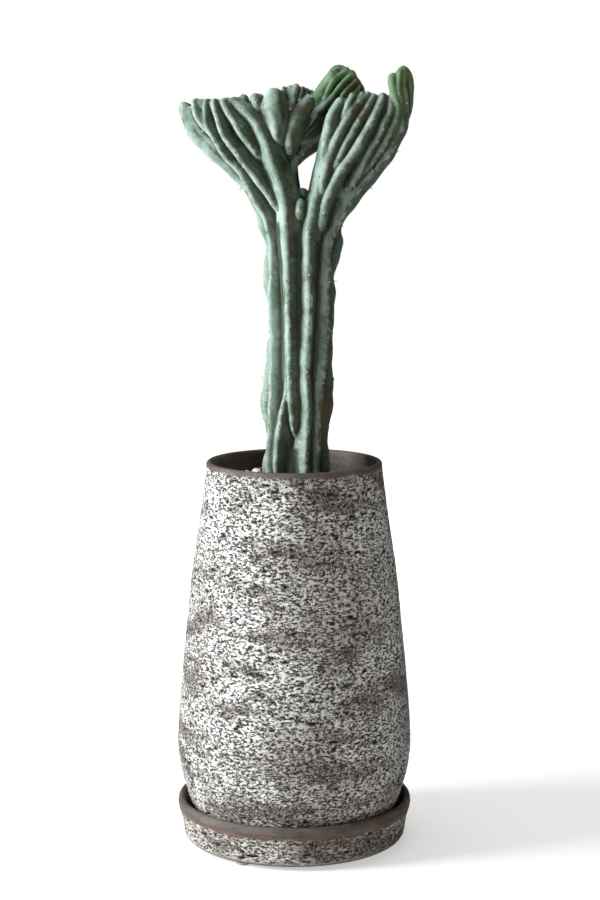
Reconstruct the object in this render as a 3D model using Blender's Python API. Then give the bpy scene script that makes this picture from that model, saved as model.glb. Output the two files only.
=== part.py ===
"""A tall crested cactus in a tapered stoneware pot, standing on its saucer.

Frame: metres, +Z up, the floor at Z = 0, the origin under the middle of the saucer,
and the wide face of the crest towards -Y.
"""
import math
import random
from dataclasses import dataclass, replace

import bmesh
import bpy
import numpy as np

MM = 0.001
GAP = 0.3 * MM                  # clearance between pieces that touch

# ---- driving dimensions -----------------------------------------------------
RIM_HEIGHT = 397 * MM           # top of the pot's lip above the floor
RIM_RADIUS = 90 * MM
BELLY_RADIUS = 121.3 * MM       # widest turn, low on the pot
LIP_RADIUS = 3 * MM
WALL = 8 * MM
DRAIN_RADIUS = 13 * MM
POT_FLOOR = 10 * MM             # thickness of the pot's bottom

PAD_HEIGHT = 3 * MM
PAD_RADIUS = 7 * MM
PAD_RING = 103 * MM             # the pads stand on a circle of this radius
PAD_COUNT = 3
PAD_START = math.radians(240)   # the first pad is at the front left

SAUCER_UNDERSIDE = PAD_HEIGHT + GAP
SAUCER_FLOOR = 12 * MM          # height of the plate's inner floor
SAUCER_TOP = 46.5 * MM
SAUCER_RADIUS = 121.4 * MM

SOIL_LOW = 358 * MM             # level of the potting mix
SOIL_AT_STEM = 369.5 * MM       # highest that it may be under the stem's ribs
MOUND_TOP = 374.5 * MM          # it is heaped up beside the stem, at the left
MOUND_X = -42 * MM
MOUND_Y = 20 * MM
MOUND_REACH = 26 * MM

NET_SIDE = 44 * MM              # plastic net over the drain hole
NET_THICK = 1.5 * MM
NET_HOLES = 5                   # along each side
STEM_X = 1 * MM                 # the planted end of the stem
STEM_Y = -1 * MM
ROOT_RADIUS = 27 * MM           # rounded foot of the stem, below the ribs
ROOT_DEPTH = 44 * MM            # how far the stem is planted
ROOT_CLEARANCE = 1.2 * MM

TURN_STEPS = 48
STONE_RADIUS = 7.6 * MM
STONE_SPACING = 18.5 * MM
STONE_GRID_X = 7.25 * MM
STONE_GRID_Y = 8 * MM
CACTUS_VOXEL = 3.4 * MM
CACTUS_TRIANGLES = 6400


# ---- scene and materials ----------------------------------------------------
def clear_scene():
    """Start from an empty file."""
    for thing in list(bpy.data.objects):
        bpy.data.objects.remove(thing)


def material(name, colour, roughness, metallic=0.0):
    """Plain Principled finish for one sub-part."""
    made = bpy.data.materials.new(name)
    made.use_nodes = True
    shader = made.node_tree.nodes["Principled BSDF"]
    shader.inputs["Base Color"].default_value = (*colour, 1.0)
    shader.inputs["Roughness"].default_value = roughness
    shader.inputs["Metallic"].default_value = metallic
    return made


def add_object(name, mesh, finish, parent=None, location=(0, 0, 0)):
    """Put a mesh in the scene under its part name."""
    thing = bpy.data.objects.new(name, mesh)
    thing.data.materials.append(finish)
    thing.location = location
    thing.parent = parent
    bpy.context.scene.collection.objects.link(thing)
    return thing


# ---- outlines ---------------------------------------------------------------
def smooth_curve(points, per_span):
    """Points along a Catmull-Rom curve that passes through every given point."""
    knots = np.asarray(points, float)
    first = 2 * knots[0] - knots[1]
    last = 2 * knots[-1] - knots[-2]
    line = np.vstack([first, knots, last])
    t = np.linspace(0, 1, per_span, endpoint=False)[:, None]
    spans = []
    for a, b, c, d in zip(line, line[1:], line[2:], line[3:]):
        spans.append(0.5 * (2 * b + (c - a) * t + (2 * a - 5 * b + 4 * c - d) * t ** 2
                            + (3 * b - a - 3 * c + d) * t ** 3))
    return np.vstack(spans + [knots[-1:]])


def arc(centre, radius, start, end, steps):
    """Points of a circular arc in the profile plane, angles in degrees from +R."""
    angles = np.radians(np.linspace(start, end, steps))
    return [(centre[0] + radius * math.cos(a), centre[1] + radius * math.sin(a)) for a in angles]


def turned_mesh(name, profile, closed, steps=TURN_STEPS):
    """Turn a profile of (radius, height) about Z.

    The profile runs with the material on its left: up the outside and down the inside.
    A closed profile makes a ring; an open one starts and ends on the axis.
    """
    bm = bmesh.new()
    rings = []
    for radius, height in profile:
        if radius < 1e-6:
            rings.append([bm.verts.new((0, 0, height))])
            continue
        rings.append([bm.verts.new((radius * math.cos(a), radius * math.sin(a), height))
                      for a in np.arange(steps) * 2 * math.pi / steps])
    pairs = list(zip(rings, rings[1:]))
    if closed:
        pairs.append((rings[-1], rings[0]))
    for low, high in pairs:
        for k in range(steps):
            n = (k + 1) % steps
            if len(low) == 1:
                bm.faces.new((low[0], high[n], high[k]))
            elif len(high) == 1:
                bm.faces.new((low[k], low[n], high[0]))
            else:
                bm.faces.new((low[k], low[n], high[n], high[k]))
    mesh = bpy.data.meshes.new(name)
    bm.to_mesh(mesh)
    bm.free()
    mesh.shade_smooth()
    mesh.set_sharp_from_angle(angle=math.radians(35))
    return mesh


# ---- pot and saucer ---------------------------------------------------------
def pot_wall_outline():
    """Outer wall from the foot to just under the lip, as (radius, height)."""
    foot = SAUCER_FLOOR + GAP
    knots = [(84 * MM, foot), (97 * MM, 21 * MM), (107 * MM, 39 * MM), (113.5 * MM, 58 * MM),
             (118.8 * MM, 78 * MM), (BELLY_RADIUS, 104 * MM), (119.2 * MM, 142 * MM),
             (115.6 * MM, 185 * MM), (110.6 * MM, 235 * MM), (105.2 * MM, 285 * MM),
             (97.6 * MM, 335 * MM), (92.6 * MM, 372 * MM),
             (RIM_RADIUS, RIM_HEIGHT - LIP_RADIUS)]
    body = smooth_curve(knots[3:], 2)
    return [*knots[:3], *map(tuple, body)]


def pot_cavity_outline():
    """Inner wall from under the lip down to the edge of the drain hole."""
    top = RIM_RADIUS - 2 * LIP_RADIUS
    return [(top, RIM_HEIGHT - LIP_RADIUS), (top, 381 * MM), (95 * MM - WALL, 353 * MM),
            (100.2 * MM - WALL, 318 * MM), (105.2 * MM - WALL, 285 * MM),
            (110.6 * MM - WALL, 235 * MM), (115.6 * MM - WALL, 185 * MM),
            (119.2 * MM - WALL, 142 * MM), (BELLY_RADIUS - WALL, 104 * MM),
            (117.6 * MM - WALL, 76 * MM), (104 * MM, 50 * MM), (95 * MM, 34 * MM),
            (82 * MM, SAUCER_FLOOR + GAP + POT_FLOOR)]


def make_pot(finish, parent):
    """Tapered pot with a rounded lip, an 8 mm wall and a drain hole."""
    foot = SAUCER_FLOOR + GAP
    lip = arc((RIM_RADIUS - LIP_RADIUS, RIM_HEIGHT - LIP_RADIUS), LIP_RADIUS, 30, 150, 5)
    drain = [(DRAIN_RADIUS, foot + POT_FLOOR), (DRAIN_RADIUS, foot)]
    profile = [*pot_wall_outline(), *lip, *pot_cavity_outline(), *drain]
    return add_object("pot", turned_mesh("pot", profile, closed=True), finish, parent)


def make_saucer(finish, parent):
    """Deep plate with a flat underside, a rounded lower edge and a thick rounded lip."""
    outside = [(108 * MM, SAUCER_UNDERSIDE), (112.4 * MM, 4.6 * MM), (115 * MM, 8 * MM),
               (116.4 * MM, 15 * MM), (117.6 * MM, 24 * MM), (120.2 * MM, 33 * MM),
               (SAUCER_RADIUS, 39.5 * MM)]
    lip = [(120.9 * MM, 43.5 * MM), (119.4 * MM, 45.8 * MM), (117.4 * MM, SAUCER_TOP),
           (115.4 * MM, 45.4 * MM), (114.3 * MM, 42.6 * MM)]
    inside = [(112.4 * MM, 35 * MM), (107 * MM, 22 * MM), (100 * MM, 14.6 * MM),
              (92 * MM, SAUCER_FLOOR)]
    profile = [(0, SAUCER_UNDERSIDE), *outside, *lip, *inside, (0, SAUCER_FLOOR)]
    return add_object("saucer", turned_mesh("saucer", profile, closed=False), finish, parent)


def make_foot_pads(finish, parent):
    """Three round pads that lift the saucer clear of the floor."""
    bevel = 0.6 * MM
    profile = [(0, 0), (PAD_RADIUS - bevel, 0), (PAD_RADIUS, bevel),
               (PAD_RADIUS, PAD_HEIGHT - bevel), (PAD_RADIUS - bevel, PAD_HEIGHT),
               (0, PAD_HEIGHT)]
    mesh = turned_mesh("foot_pad", profile, closed=False, steps=16)
    for number in range(PAD_COUNT):
        angle = PAD_START + number * 2 * math.pi / PAD_COUNT
        place = (PAD_RING * math.cos(angle), PAD_RING * math.sin(angle), 0)
        add_object(f"foot_pad_{number + 1}", mesh, finish, parent, place)


# ---- soil and stones --------------------------------------------------------
def make_drain_net(finish, parent):
    """Flat square net that keeps the mix from running out of the drain hole."""
    low = SAUCER_FLOOR + GAP + POT_FLOOR + GAP
    lines = 2 * NET_HOLES + 2
    side = np.linspace(-0.5, 0.5, lines) * NET_SIDE
    bm = bmesh.new()
    grids = [[[bm.verts.new((x, y, z)) for y in side] for x in side] for z in (low, low + NET_THICK)]
    bottom, top = grids

    def is_open(i, j):
        inside = 0 <= i < lines - 1 and 0 <= j < lines - 1
        return not inside or (i % 2 == 1 and j % 2 == 1)

    for i in range(lines - 1):
        for j in range(lines - 1):
            if is_open(i, j):
                continue
            ring = [(i, j), (i + 1, j), (i + 1, j + 1), (i, j + 1)]
            bm.faces.new([top[a][b] for a, b in ring])
            bm.faces.new([bottom[a][b] for a, b in reversed(ring)])
            beside = [(i, j - 1), (i + 1, j), (i, j + 1), (i - 1, j)]
            for (a, b), (c, d), (m, n) in zip(ring, ring[1:] + ring[:1], beside):
                if is_open(m, n):
                    bm.faces.new((bottom[a][b], bottom[c][d], top[c][d], top[a][b]))
    mesh = bpy.data.meshes.new("drain_net")
    bm.to_mesh(mesh)
    bm.free()
    return add_object("drain_net", mesh, finish, parent)


def soil_height(x, y):
    """Height of the potting mix: level, with a mound beside the stem at the left."""
    away = math.hypot(x - MOUND_X, y - MOUND_Y) / MOUND_REACH
    clear = min(1.0, max(0.0, (math.hypot(x, y) - 40 * MM) / (5 * MM)))
    crown = SOIL_AT_STEM + (MOUND_TOP - SOIL_AT_STEM) * clear
    return SOIL_LOW + (crown - SOIL_LOW) * math.exp(-away * away)


def make_soil(finish, parent):
    """Potting mix that fills the pot, with a socket for the foot of the stem."""
    floor = SAUCER_FLOOR + GAP + POT_FLOOR + GAP
    wall = [(r - GAP, z) for r, z in pot_cavity_outline()[::-1] if floor < z < SOIL_LOW - 8 * MM]
    socket = ROOT_RADIUS + ROOT_CLEARANCE
    bottom = SOIL_AT_STEM - ROOT_DEPTH - ROOT_CLEARANCE
    shoulder = 82.5 * MM
    top = [(radius, SOIL_LOW) for radius in (shoulder, 68 * MM, 55 * MM, 46 * MM, 39 * MM, socket)]
    over_net = floor + NET_THICK + GAP
    recess = 0.5 * NET_SIDE * math.sqrt(2) + GAP
    profile = [(0, over_net), (recess, over_net), (recess, floor), (78 * MM, floor), *wall, *top,
               (socket, bottom + 10 * MM), (socket - 10 * MM, bottom), (0, bottom)]
    mesh = turned_mesh("soil", profile, closed=False, steps=36)
    for corner in mesh.vertices:
        x, y, z = corner.co
        reach = math.hypot(x, y)
        if z > SOIL_LOW - GAP:
            corner.co.z = soil_height(x, y)
        if z > bottom - GAP and reach < socket + GAP:
            corner.co.x += STEM_X
            corner.co.y += STEM_Y
    return add_object("soil", mesh, finish, parent)


def stone_mesh(name, chance):
    """A squat, blunt-cornered pebble about its own middle, resting on Z = 0."""
    bm = bmesh.new()
    bmesh.ops.create_icosphere(bm, subdivisions=2, radius=1)
    stretch = np.array([chance.uniform(0.86, 1.0), chance.uniform(0.72, 0.9),
                        chance.uniform(0.62, 0.76)]) * STONE_RADIUS
    turn = chance.uniform(0, math.pi)
    flats = [np.array([chance.gauss(0, 1) for _ in range(3)]) for _ in range(7)]
    flats = [f / np.linalg.norm(f) for f in flats]
    for corner in bm.verts:
        place = np.array(corner.co)
        for flat in flats:
            place -= flat * max(0.0, place @ flat - 0.8)
        x, y, z = place * stretch
        corner.co = (x * math.cos(turn) - y * math.sin(turn),
                     x * math.sin(turn) + y * math.cos(turn), z)
    low = min(corner.co.z for corner in bm.verts)
    for corner in bm.verts:
        corner.co.z -= low
    mesh = bpy.data.meshes.new(name)
    bm.to_mesh(mesh)
    bm.free()
    mesh.shade_smooth()
    return mesh


def stone_places():
    """Stone positions: one loose layer on the soil."""
    inner = 45.5 * MM
    outer = 75 * MM
    row = STONE_SPACING * math.sin(math.radians(60))
    places = []
    for j in range(-5, 6):
        for i in range(-5, 6):
            x = (i + 0.5 * (j % 2)) * STONE_SPACING + STONE_GRID_X
            y = j * row + STONE_GRID_Y
            if inner < math.hypot(x, y) < outer:
                reach = 0.6 * STONE_RADIUS
                footprint = [soil_height(x + dx, y + dy) for dx in (-reach, 0, reach)
                             for dy in (-reach, 0, reach)]
                places.append((x, y, max(footprint) + 2 * GAP))
    return places


def make_stones(finish, parent):
    """White top-dressing stones, each a piece of its own."""
    chance = random.Random(11)
    for number, place in enumerate(stone_places(), 1):
        name = f"stone_{number:02d}"
        add_object(name, stone_mesh(name, chance), finish, parent, place)


# ---- the cactus -------------------------------------------------------------
@dataclass(frozen=True)
class Rib:
    """One rib: a rounded wedge that is swept along its crest line.

    route is the crest line in millimetres from the root to the tip. Each of the other
    values is a tuple of numbers spread evenly along the route: facing is the direction of
    the crest in degrees from the front (-Y) towards +X, half_width that of the wedge's
    inner side, nose the crest's radius and depth how far in the wedge reaches.
    """

    name: str
    route: tuple
    facing: tuple = (0,)
    half_width: tuple = (9, 6)
    nose: tuple = (3.6,)
    depth: tuple = (16, 9)
    sink: float = 10            # how far the root is sunk into its neighbours
    wave: float = 0.5           # height of the swellings where the spine cushions sit
    pitch: float = 30           # distance between two swellings


def trunk_ribs():
    """The ribs that start at the soil; the front ones run on into the crest."""
    stem = dict(half_width=(10, 10, 10, 8), depth=(17, 17, 15, 11), sink=0, wave=0.7)
    return [
        Rib("left_edge", ((-31, 8, 371), (-33, 8, 390), (-28, 8, 420), (-35, 8, 452), (-31, 8, 486),
                          (-28, 8, 512), (-24, 8, 538), (-32, 8, 584), (-29, 6, 612), (-37, 4, 638),
                          (-44, 2, 660), (-60, 0, 681), (-78, -2, 697), (-102, -3, 720),
                          (-113, -3, 742), (-114, -2, 757), (-110, -1, 763)),
            (-102, -96, -86, -72), (11, 11, 14, 14, 6), (3.4, 3.6, 4.4, 5.0), (17, 17, 22, 18, 8), 0),
        Rib("left_front", ((-27, -13, 371), (-29, -13, 400), (-27, -14, 432), (-26, -14, 470),
                           (-25, -13, 520), (-26, -13, 560), (-25, -15, 610), (-31, -17, 642),
                           (-44, -19, 665), (-55, -21, 688), (-69, -21, 702), (-83, -19, 724),
                           (-91, -16, 742), (-89, -14, 763)),
            (-62, -62, -62, -50, -42, -38), (10, 10, 10, 9, 7, 4.5), (3.4, 3.4, 3.4, 3.0),
            (18, 17, 14, 9), 0),
        Rib("low_front", ((-17, -29, 371), (-19, -29, 386), (-19, -29, 408), (-16, -31, 434),
                          (-11, -33, 462), (-8, -33, 478)), (-30, -24), (10, 10, 8, 3),
            (3.2, 3.2, 2.0), (16, 14, 8), 0),
        Rib("front", ((-1, -32, 420), (-3, -35, 446), (-5, -35, 470), (-6, -35, 520), (-7, -35, 560),
                      (-9, -35, 620), (-11, -36, 660), (-22, -36, 695), (-33, -31, 726),
                      (-46, -24, 745), (-60, -17, 756), (-68, -14, 761)),
            (-16, -20, -22, -18, -16), (5, 11, 11, 14, 12, 6), (2.2, 3.6, 6.0, 4.6),
            (8, 17, 18, 16, 10), 9),
        Rib("right_front", ((12, -35, 371), (13, -35, 417), (15, -36, 452), (13, -36, 490),
                            (15, -36, 530), (16, -36, 560), (14, -36, 625), (17, -36, 648),
                            (21, -36, 668), (25, -36, 686), (28, -36, 706), (31, -35, 729),
                            (36, -31, 748), (48, -24, 766)),
            (12, 16, 12, -20, -34), (10, 11, 11, 12, 13, 6), (3.6, 3.6, 4.4, 5.8, 5.0),
            (17, 17, 18, 15, 10), 0),
        Rib("right_second", ((24, -27, 371), (26, -27, 420), (27, -27, 455), (33, -23, 500),
                             (35, -22, 540), (36, -21, 590), (38, -20, 619), (46, -17, 636),
                             (57, -14, 658), (79, -13, 690), (95, -11, 713), (107, -8, 737),
                             (113, -8, 749)),
            (38, 50, 52, 55, 62), (8, 9, 10, 9, 7), (3.4, 3.6, 4.0), (16, 17, 17, 12), 0),
        Rib("right_edge", ((35, 0, 371), (37, 0, 402), (34, 0, 420), (40, 0, 456), (39, 2, 500),
                           (40, 2, 535), (42, 2, 566), (41, 2, 585), (46, 2, 603), (50, 2, 619),
                           (48, 2, 634), (66, 2, 660), (92, 2, 692), (107, 1, 716), (116, 0, 745),
                           (119, 0, 757)),
            (86, 88, 90, 90), (11, 11, 12, 14, 12), (3.6, 3.8, 4.4), (17, 17, 22, 20), 0),
        Rib("back_right", ((29, 22, 371), (30, 23, 450), (35, 23, 560), (42, 22, 625), (60, 20, 668),
                           (86, 17, 712), (102, 13, 745), (104, 8, 762)),
            (128, 135, 150), **stem),
        Rib("back_middle", ((8, 33, 371), (10, 34, 450), (15, 35, 560), (20, 33, 630),
                            (36, 30, 680), (48, 28, 728), (56, 20, 762)), (168, 172, 178), **stem),
        Rib("back_left", ((-16, 28, 371), (-14, 29, 450), (-10, 31, 560), (-14, 31, 630),
                          (-30, 28, 680), (-54, 22, 724), (-76, 12, 760)),
            (-150, -158, -170), **stem),
    ]


def left_fan_ribs():
    """The shorter ribs of the left fan, which start between the long ones."""
    small = dict(nose=(3.2, 3.4), wave=0.3)
    finger = dict(depth=(9, 8), sink=5, wave=0.2)
    return [
        Rib("left_a", ((-80, -17, 716), (-92, -17, 732), (-100, -15, 746), (-103, -10, 763)), (-50,),
            (6, 6, 4.5), depth=(10, 8), **small),
        Rib("left_b", ((-90, -16, 742), (-94, -14, 753), (-95, -11, 763)), (-35,), (3.2, 3.0),
            (3.4,), (8, 7), 6, 0.2),
        Rib("left_c", ((-19, -29, 645), (-27, -29, 664), (-38, -29, 680), (-56, -28, 704),
                       (-71, -25, 724), (-79, -20, 745), (-83, -14, 763)), (-38, -32),
            (8, 8, 6, 4.5), (3.8, 3.2), (16, 14, 9)),
        Rib("left_d", ((-34, -28, 696), (-44, -29, 712), (-56, -27, 730), (-67, -21, 748),
                       (-75, -14, 763)), (-32, -28), (6, 8, 6), (3.5, 3.6), (14, 12, 9)),
        Rib("finger_1", ((-46, -10, 744), (-50, -11, 755), (-53, -8, 768)), (-10,), (5.5, 5), (4.2,),
            **finger),
        Rib("finger_2", ((-34, -18, 738), (-37, -19, 752), (-41, -14, 769)), (-8,), (5, 6.5), (4.4, 5.2),
            **finger),
        Rib("finger_3", ((-31, -14, 738), (-32, -15, 754), (-34, -11, 768)), (0,), (3.2,), (3.0,),
            **finger),
        Rib("wide_middle", ((-17, -32, 714), (-20, -33, 732), (-23, -31, 750), (-24, -27, 764),
                            (-25, -20, 776)), (-20,), (6, 11, 11, 6), (4.0, 5.4, 6.0, 5.0),
            (12, 14, 10), 6),
        Rib("finger_4", ((-7, -19, 742), (-9, -20, 760), (-11, -14, 776)), (-4,), (2.6,), (2.2,), **finger),
        Rib("finger_5", ((-3, -19, 744), (-4, -20, 762), (-5, -14, 777)), (-4,), (2.6,), (2.2,), **finger),
        Rib("finger_6", ((-7, -22, 742), (-3, -23, 755), (0, -20, 767), (3, -14, 779)), (-2,),
            (4, 4), (2.8, 3.8), **finger),
        Rib("finger_7", ((-1, -19, 746), (5, -18, 761), (10, -11, 776)), (0,), (2.6,), (2.2,), **finger),
        Rib("finger_8", ((3, -17, 748), (9, -15, 761), (15, -8, 774)), (6,), (2.6,), (2.2,), **finger),
        Rib("finger_9", ((7, -14, 750), (14, -11, 762), (20, -4, 772)), (12,), (2.6,), (2.2,), **finger),
    ]


def bridge_ribs():
    """The ribs between the two fans, which lead back to the green lobe."""
    return [
        Rib("bridge_a", ((-7, -29, 706), (-6, -30, 718), (-4, -29, 730), (1, -27, 742), (9, -22, 754),
                         (20, -15, 767)), (-12, -6), (6, 9.5, 9.5, 6), (3.6, 4.8, 4.2), (12, 12, 9), 6),
        Rib("bridge_b", ((-4, -25, 706), (3, -20, 721), (13, -14, 734), (23, -6, 747),
                         (34, 4, 759), (43, 10, 769)), (10, 0), (5, 4.5), (2.4,), (12, 9), 6, 0.3),
        Rib("bridge_c", ((3, -26, 655), (0, -26, 676), (-1, -25, 688), (3, -20, 701),
                         (13, -12, 710), (26, -2, 719), (40, 8, 734)), (25, 20), (9.5, 8),
            (4.6,), (15, 12), 8),
        Rib("bridge_d", ((4, -6, 700), (14, 2, 712), (28, 10, 724), (44, 16, 742)), (60, 40),
            (9, 8), (4,), (12, 10), 6),
        Rib("fork_web", ((8, -22, 648), (9, -20, 662), (12, -15, 674), (14, -8, 680)), (10,), (9,), (6,),
            (18, 16), 2, 0),
        Rib("bud", ((4, -31, 638), (4, -35, 648), (5, -35, 658), (6, -31, 670)), (-10,), (4.5,), (3.4,),
            (12,), 5, 0),
    ]


def lobe_ribs():
    """The ribs of the young lobe behind the right fan, curling to the right."""
    lobe = dict(facing=(-35, -5), half_width=(3.8, 3.6), nose=(2.3, 2.5), depth=(11, 9),
                                sink=4, wave=0.2)
    behind = dict(facing=(165,), half_width=(9, 9, 6), nose=(3.2, 3.6),
                                  depth=(14, 12, 9), sink=8, wave=0.4)
    return [
        Rib("lobe_1", ((25, 16, 756), (27, 17, 770), (34, 19, 785), (42, 23, 791), (50, 29, 790),
                       (56, 35, 784)),
            **lobe),
        Rib("lobe_2", ((27, 11, 752), (31, 11, 766), (38, 13, 779), (46, 17, 786), (54, 23, 788),
                       (60, 31, 784)),
            **lobe),
        Rib("lobe_3", ((33, 6, 753), (38, 8, 765), (46, 10, 776), (54, 15, 783), (60, 21, 784),
                       (65, 29, 780)),
            **lobe),
        Rib("lobe_4", ((42, 5, 756), (48, 7, 766), (55, 11, 774), (62, 17, 779), (67, 25, 778)), **lobe),
        Rib("lobe_5", ((51, 7, 757), (57, 9, 765), (63, 14, 771), (67, 20, 774), (70, 27, 772)), **lobe),
        Rib("lobe_6", ((59, 11, 755), (65, 14, 762), (70, 20, 766), (72, 27, 765)), **lobe),
        Rib("lobe_back_1", ((-14, 20, 680), (-8, 24, 702), (6, 29, 728), (22, 34, 754),
                            (35, 33, 776), (46, 28, 790)), **behind),
        Rib("lobe_back_2", ((-7, 18, 684), (1, 24, 704), (14, 29, 724), (31, 34, 745),
                            (45, 36, 765), (53, 33, 779), (57, 28, 786)), **behind),
        Rib("lobe_back_3", ((0, 14, 692), (10, 21, 711), (25, 27, 727), (42, 31, 743),
                            (57, 33, 761), (63, 31, 774), (64, 26, 781)), **behind),
    ]


def right_fan_ribs():
    """The ribs of the right fan, left to right."""
    small = dict(nose=(3.2, 3.4), wave=0.3)
    return [
        Rib("right_b", ((43, -34, 728), (47, -34, 741), (53, -30, 756), (59, -22, 770)), (-15,),
            (4, 5.5, 5), depth=(12, 9), **small),
        Rib("right_c", ((62, -27, 758), (69, -20, 770)), (-10,), (4,), (2.4,), (9, 8), 4, 0.2),
        Rib("right_d", ((24, -37, 658), (28, -39, 684), (35, -39, 708), (46, -36, 733),
                        (59, -30, 754), (77, -17, 770)), (-14, -22), (6, 8, 9, 8, 5),
            (4.0, 4.8, 4.0), (14, 15, 10), 8),
        Rib("right_e", ((35, -37, 684), (45, -38, 706), (58, -35, 731), (71, -28, 752),
                        (81, -17, 769)), (-12, -18), (5, 7, 7, 5), (3.5, 3.6), (14, 13, 9), 6, 0.3),
        Rib("right_f", ((26, -36, 630), (31, -38, 656), (42, -40, 684), (58, -40, 707),
                        (71, -37, 728), (83, -29, 752), (90, -18, 770)), (4, -6),
            (9, 9, 8, 6), (4.4, 4.8, 4.0), (18, 16, 10), 8),
        Rib("right_g", ((58, -28, 674), (70, -31, 698), (80, -32, 716), (89, -30, 734),
                        (96, -26, 750), (97, -19, 768)), (18, 8), (6, 5.5, 5),
            (3.5, 3.6), (14, 9), 6, 0.3),
        Rib("right_h", ((54, -13, 666), (67, -24, 686), (80, -26, 701), (91, -26, 717),
                        (99, -24, 733), (105, -20, 750)), (36, 24), (6, 5.5, 5),
            (3.5, 3.6), (14, 9), 6, 0.3),
        Rib("right_i", ((59, -8, 661), (77, -18, 684), (93, -19, 702), (104, -17, 722),
                        (111, -15, 742)), (52, 40), (6, 5.5, 5), (3.5, 3.6), (14, 10), 6, 0.3),
    ]


def curl_ribs():
    """The ribs of the curled tip at the end of the right fan."""
    curl = dict(depth=(12, 11, 9), sink=14, wave=0.2)
    thin = dict(half_width=(5, 5, 4.5), nose=(2.8, 3.2), **curl)
    wide = dict(half_width=(8, 7, 6), nose=(4.2, 4.6), **curl)
    return [
        Rib("curl_1", ((78, -24, 704), (95, -24, 730), (100, -23, 750), (96, -22, 768), (94, -17, 781),
                       (98, -10, 790)), (-40,), half_width=(6, 6, 5.5), nose=(4.0, 4.6),
            **curl),
        Rib("curl_2", ((93, -20, 702), (105, -21, 730), (106, -22, 752), (103, -22, 770),
                       (104, -16, 786), (107, -8, 795)), (-14,), **thin),
        Rib("curl_3", ((96, -16, 702), (109, -17, 732), (112, -19, 754), (110, -19, 773),
                       (110, -13, 788), (109, -5, 797)), (14,), **thin),
        Rib("curl_4", ((94, -10, 700), (108, -10, 722), (116, -11, 748), (118, -11, 768),
                       (116, -8, 786), (110, -2, 797)), (50,), **wide),
        Rib("curl_5", ((90, 0, 698), (106, 0, 718), (116, 0, 744), (120, -1, 766),
                       (118, -1, 786), (110, 0, 797)), (86,), **wide),
        Rib("curl_6", ((88, 10, 702), (104, 12, 726), (112, 14, 752), (112, 12, 774), (108, 7, 789),
                       (105, 2, 794)), (150,), **wide),
        Rib("curl_7", ((84, 10, 704), (96, 10, 730), (100, 10, 756), (99, 8, 776), (101, 2, 788)), (-150,),
            **wide),
    ]


def rear_ribs(front):
    """Back of the crest: the longer front ribs turned about and spread anew."""
    rear = []
    for rib in front:
        if rib.name.startswith(("finger", "wide", "right_i")):
            continue
        route = []
        for x, y, z in rib.route:
            side = np.interp(z, (640, 690, 745, 775), (27, 25, 18, 8))
            route.append((x * 0.97 + 3, float(side), z - 2))
        facing = tuple(180 - angle for angle in rib.facing)
        rear.append(replace(rib, name=rib.name + "_back", route=tuple(route), facing=facing,
                            sink=14, pitch=26))
    return rear


def core_ribs():
    """Flesh inside the ribs, so that the stem and both fans are solid through."""
    limbs = [
        ((0, -2, 640), (-40, -4, 700), (-98, -6, 746)),
        ((0, -2, 640), (-32, -6, 700), (-78, -8, 748)),
        ((0, -2, 640), (-24, -8, 700), (-58, -8, 750)),
        ((0, -2, 640), (-14, -8, 700), (-36, -6, 754)),
        ((0, -2, 640), (-8, -8, 700), (-16, -10, 758)),
        ((22, -2, 625), (56, -4, 690), (104, -4, 750)),
        ((22, -2, 625), (48, -8, 690), (84, -10, 752)),
        ((22, -2, 625), (42, -10, 695), (64, -14, 750)),
        ((28, -8, 650), (38, -14, 700), (48, -18, 742)),
        ((-8, -2, 700), (10, 8, 732), (38, 18, 770)),
        ((-8, -2, 700), (18, 8, 732), (54, 18, 764)),
    ]
    return [Rib(f"core_{number}", limb, (0,), (10, 11, 7), (9, 10, 6), (10, 11, 8), 0, 0)
            for number, limb in enumerate(limbs)]


def route_frame(rib, step):
    """Points along a rib's crest, with the tangent and the outward direction at each."""
    fine = smooth_curve(rib.route, 10)
    length = np.concatenate([[0], np.cumsum(np.linalg.norm(np.diff(fine, axis=0), axis=1))])
    along = np.linspace(0, length[-1], max(5, round(length[-1] / step) + 1))
    points = np.column_stack([np.interp(along, length, fine[:, k]) for k in range(3)])
    tangent = np.gradient(points, axis=0)
    tangent /= np.linalg.norm(tangent, axis=1)[:, None]
    angle = np.radians(spread(rib.facing, along))
    outward = np.column_stack([np.sin(angle), -np.cos(angle), np.zeros_like(angle)])
    outward -= (outward * tangent).sum(1)[:, None] * tangent
    outward /= np.linalg.norm(outward, axis=1)[:, None]
    return points, along, tangent, outward


def spread(values, along):
    """Values spread evenly along a route."""
    return np.interp(along, np.linspace(0, along[-1], len(values)), values)


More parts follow.
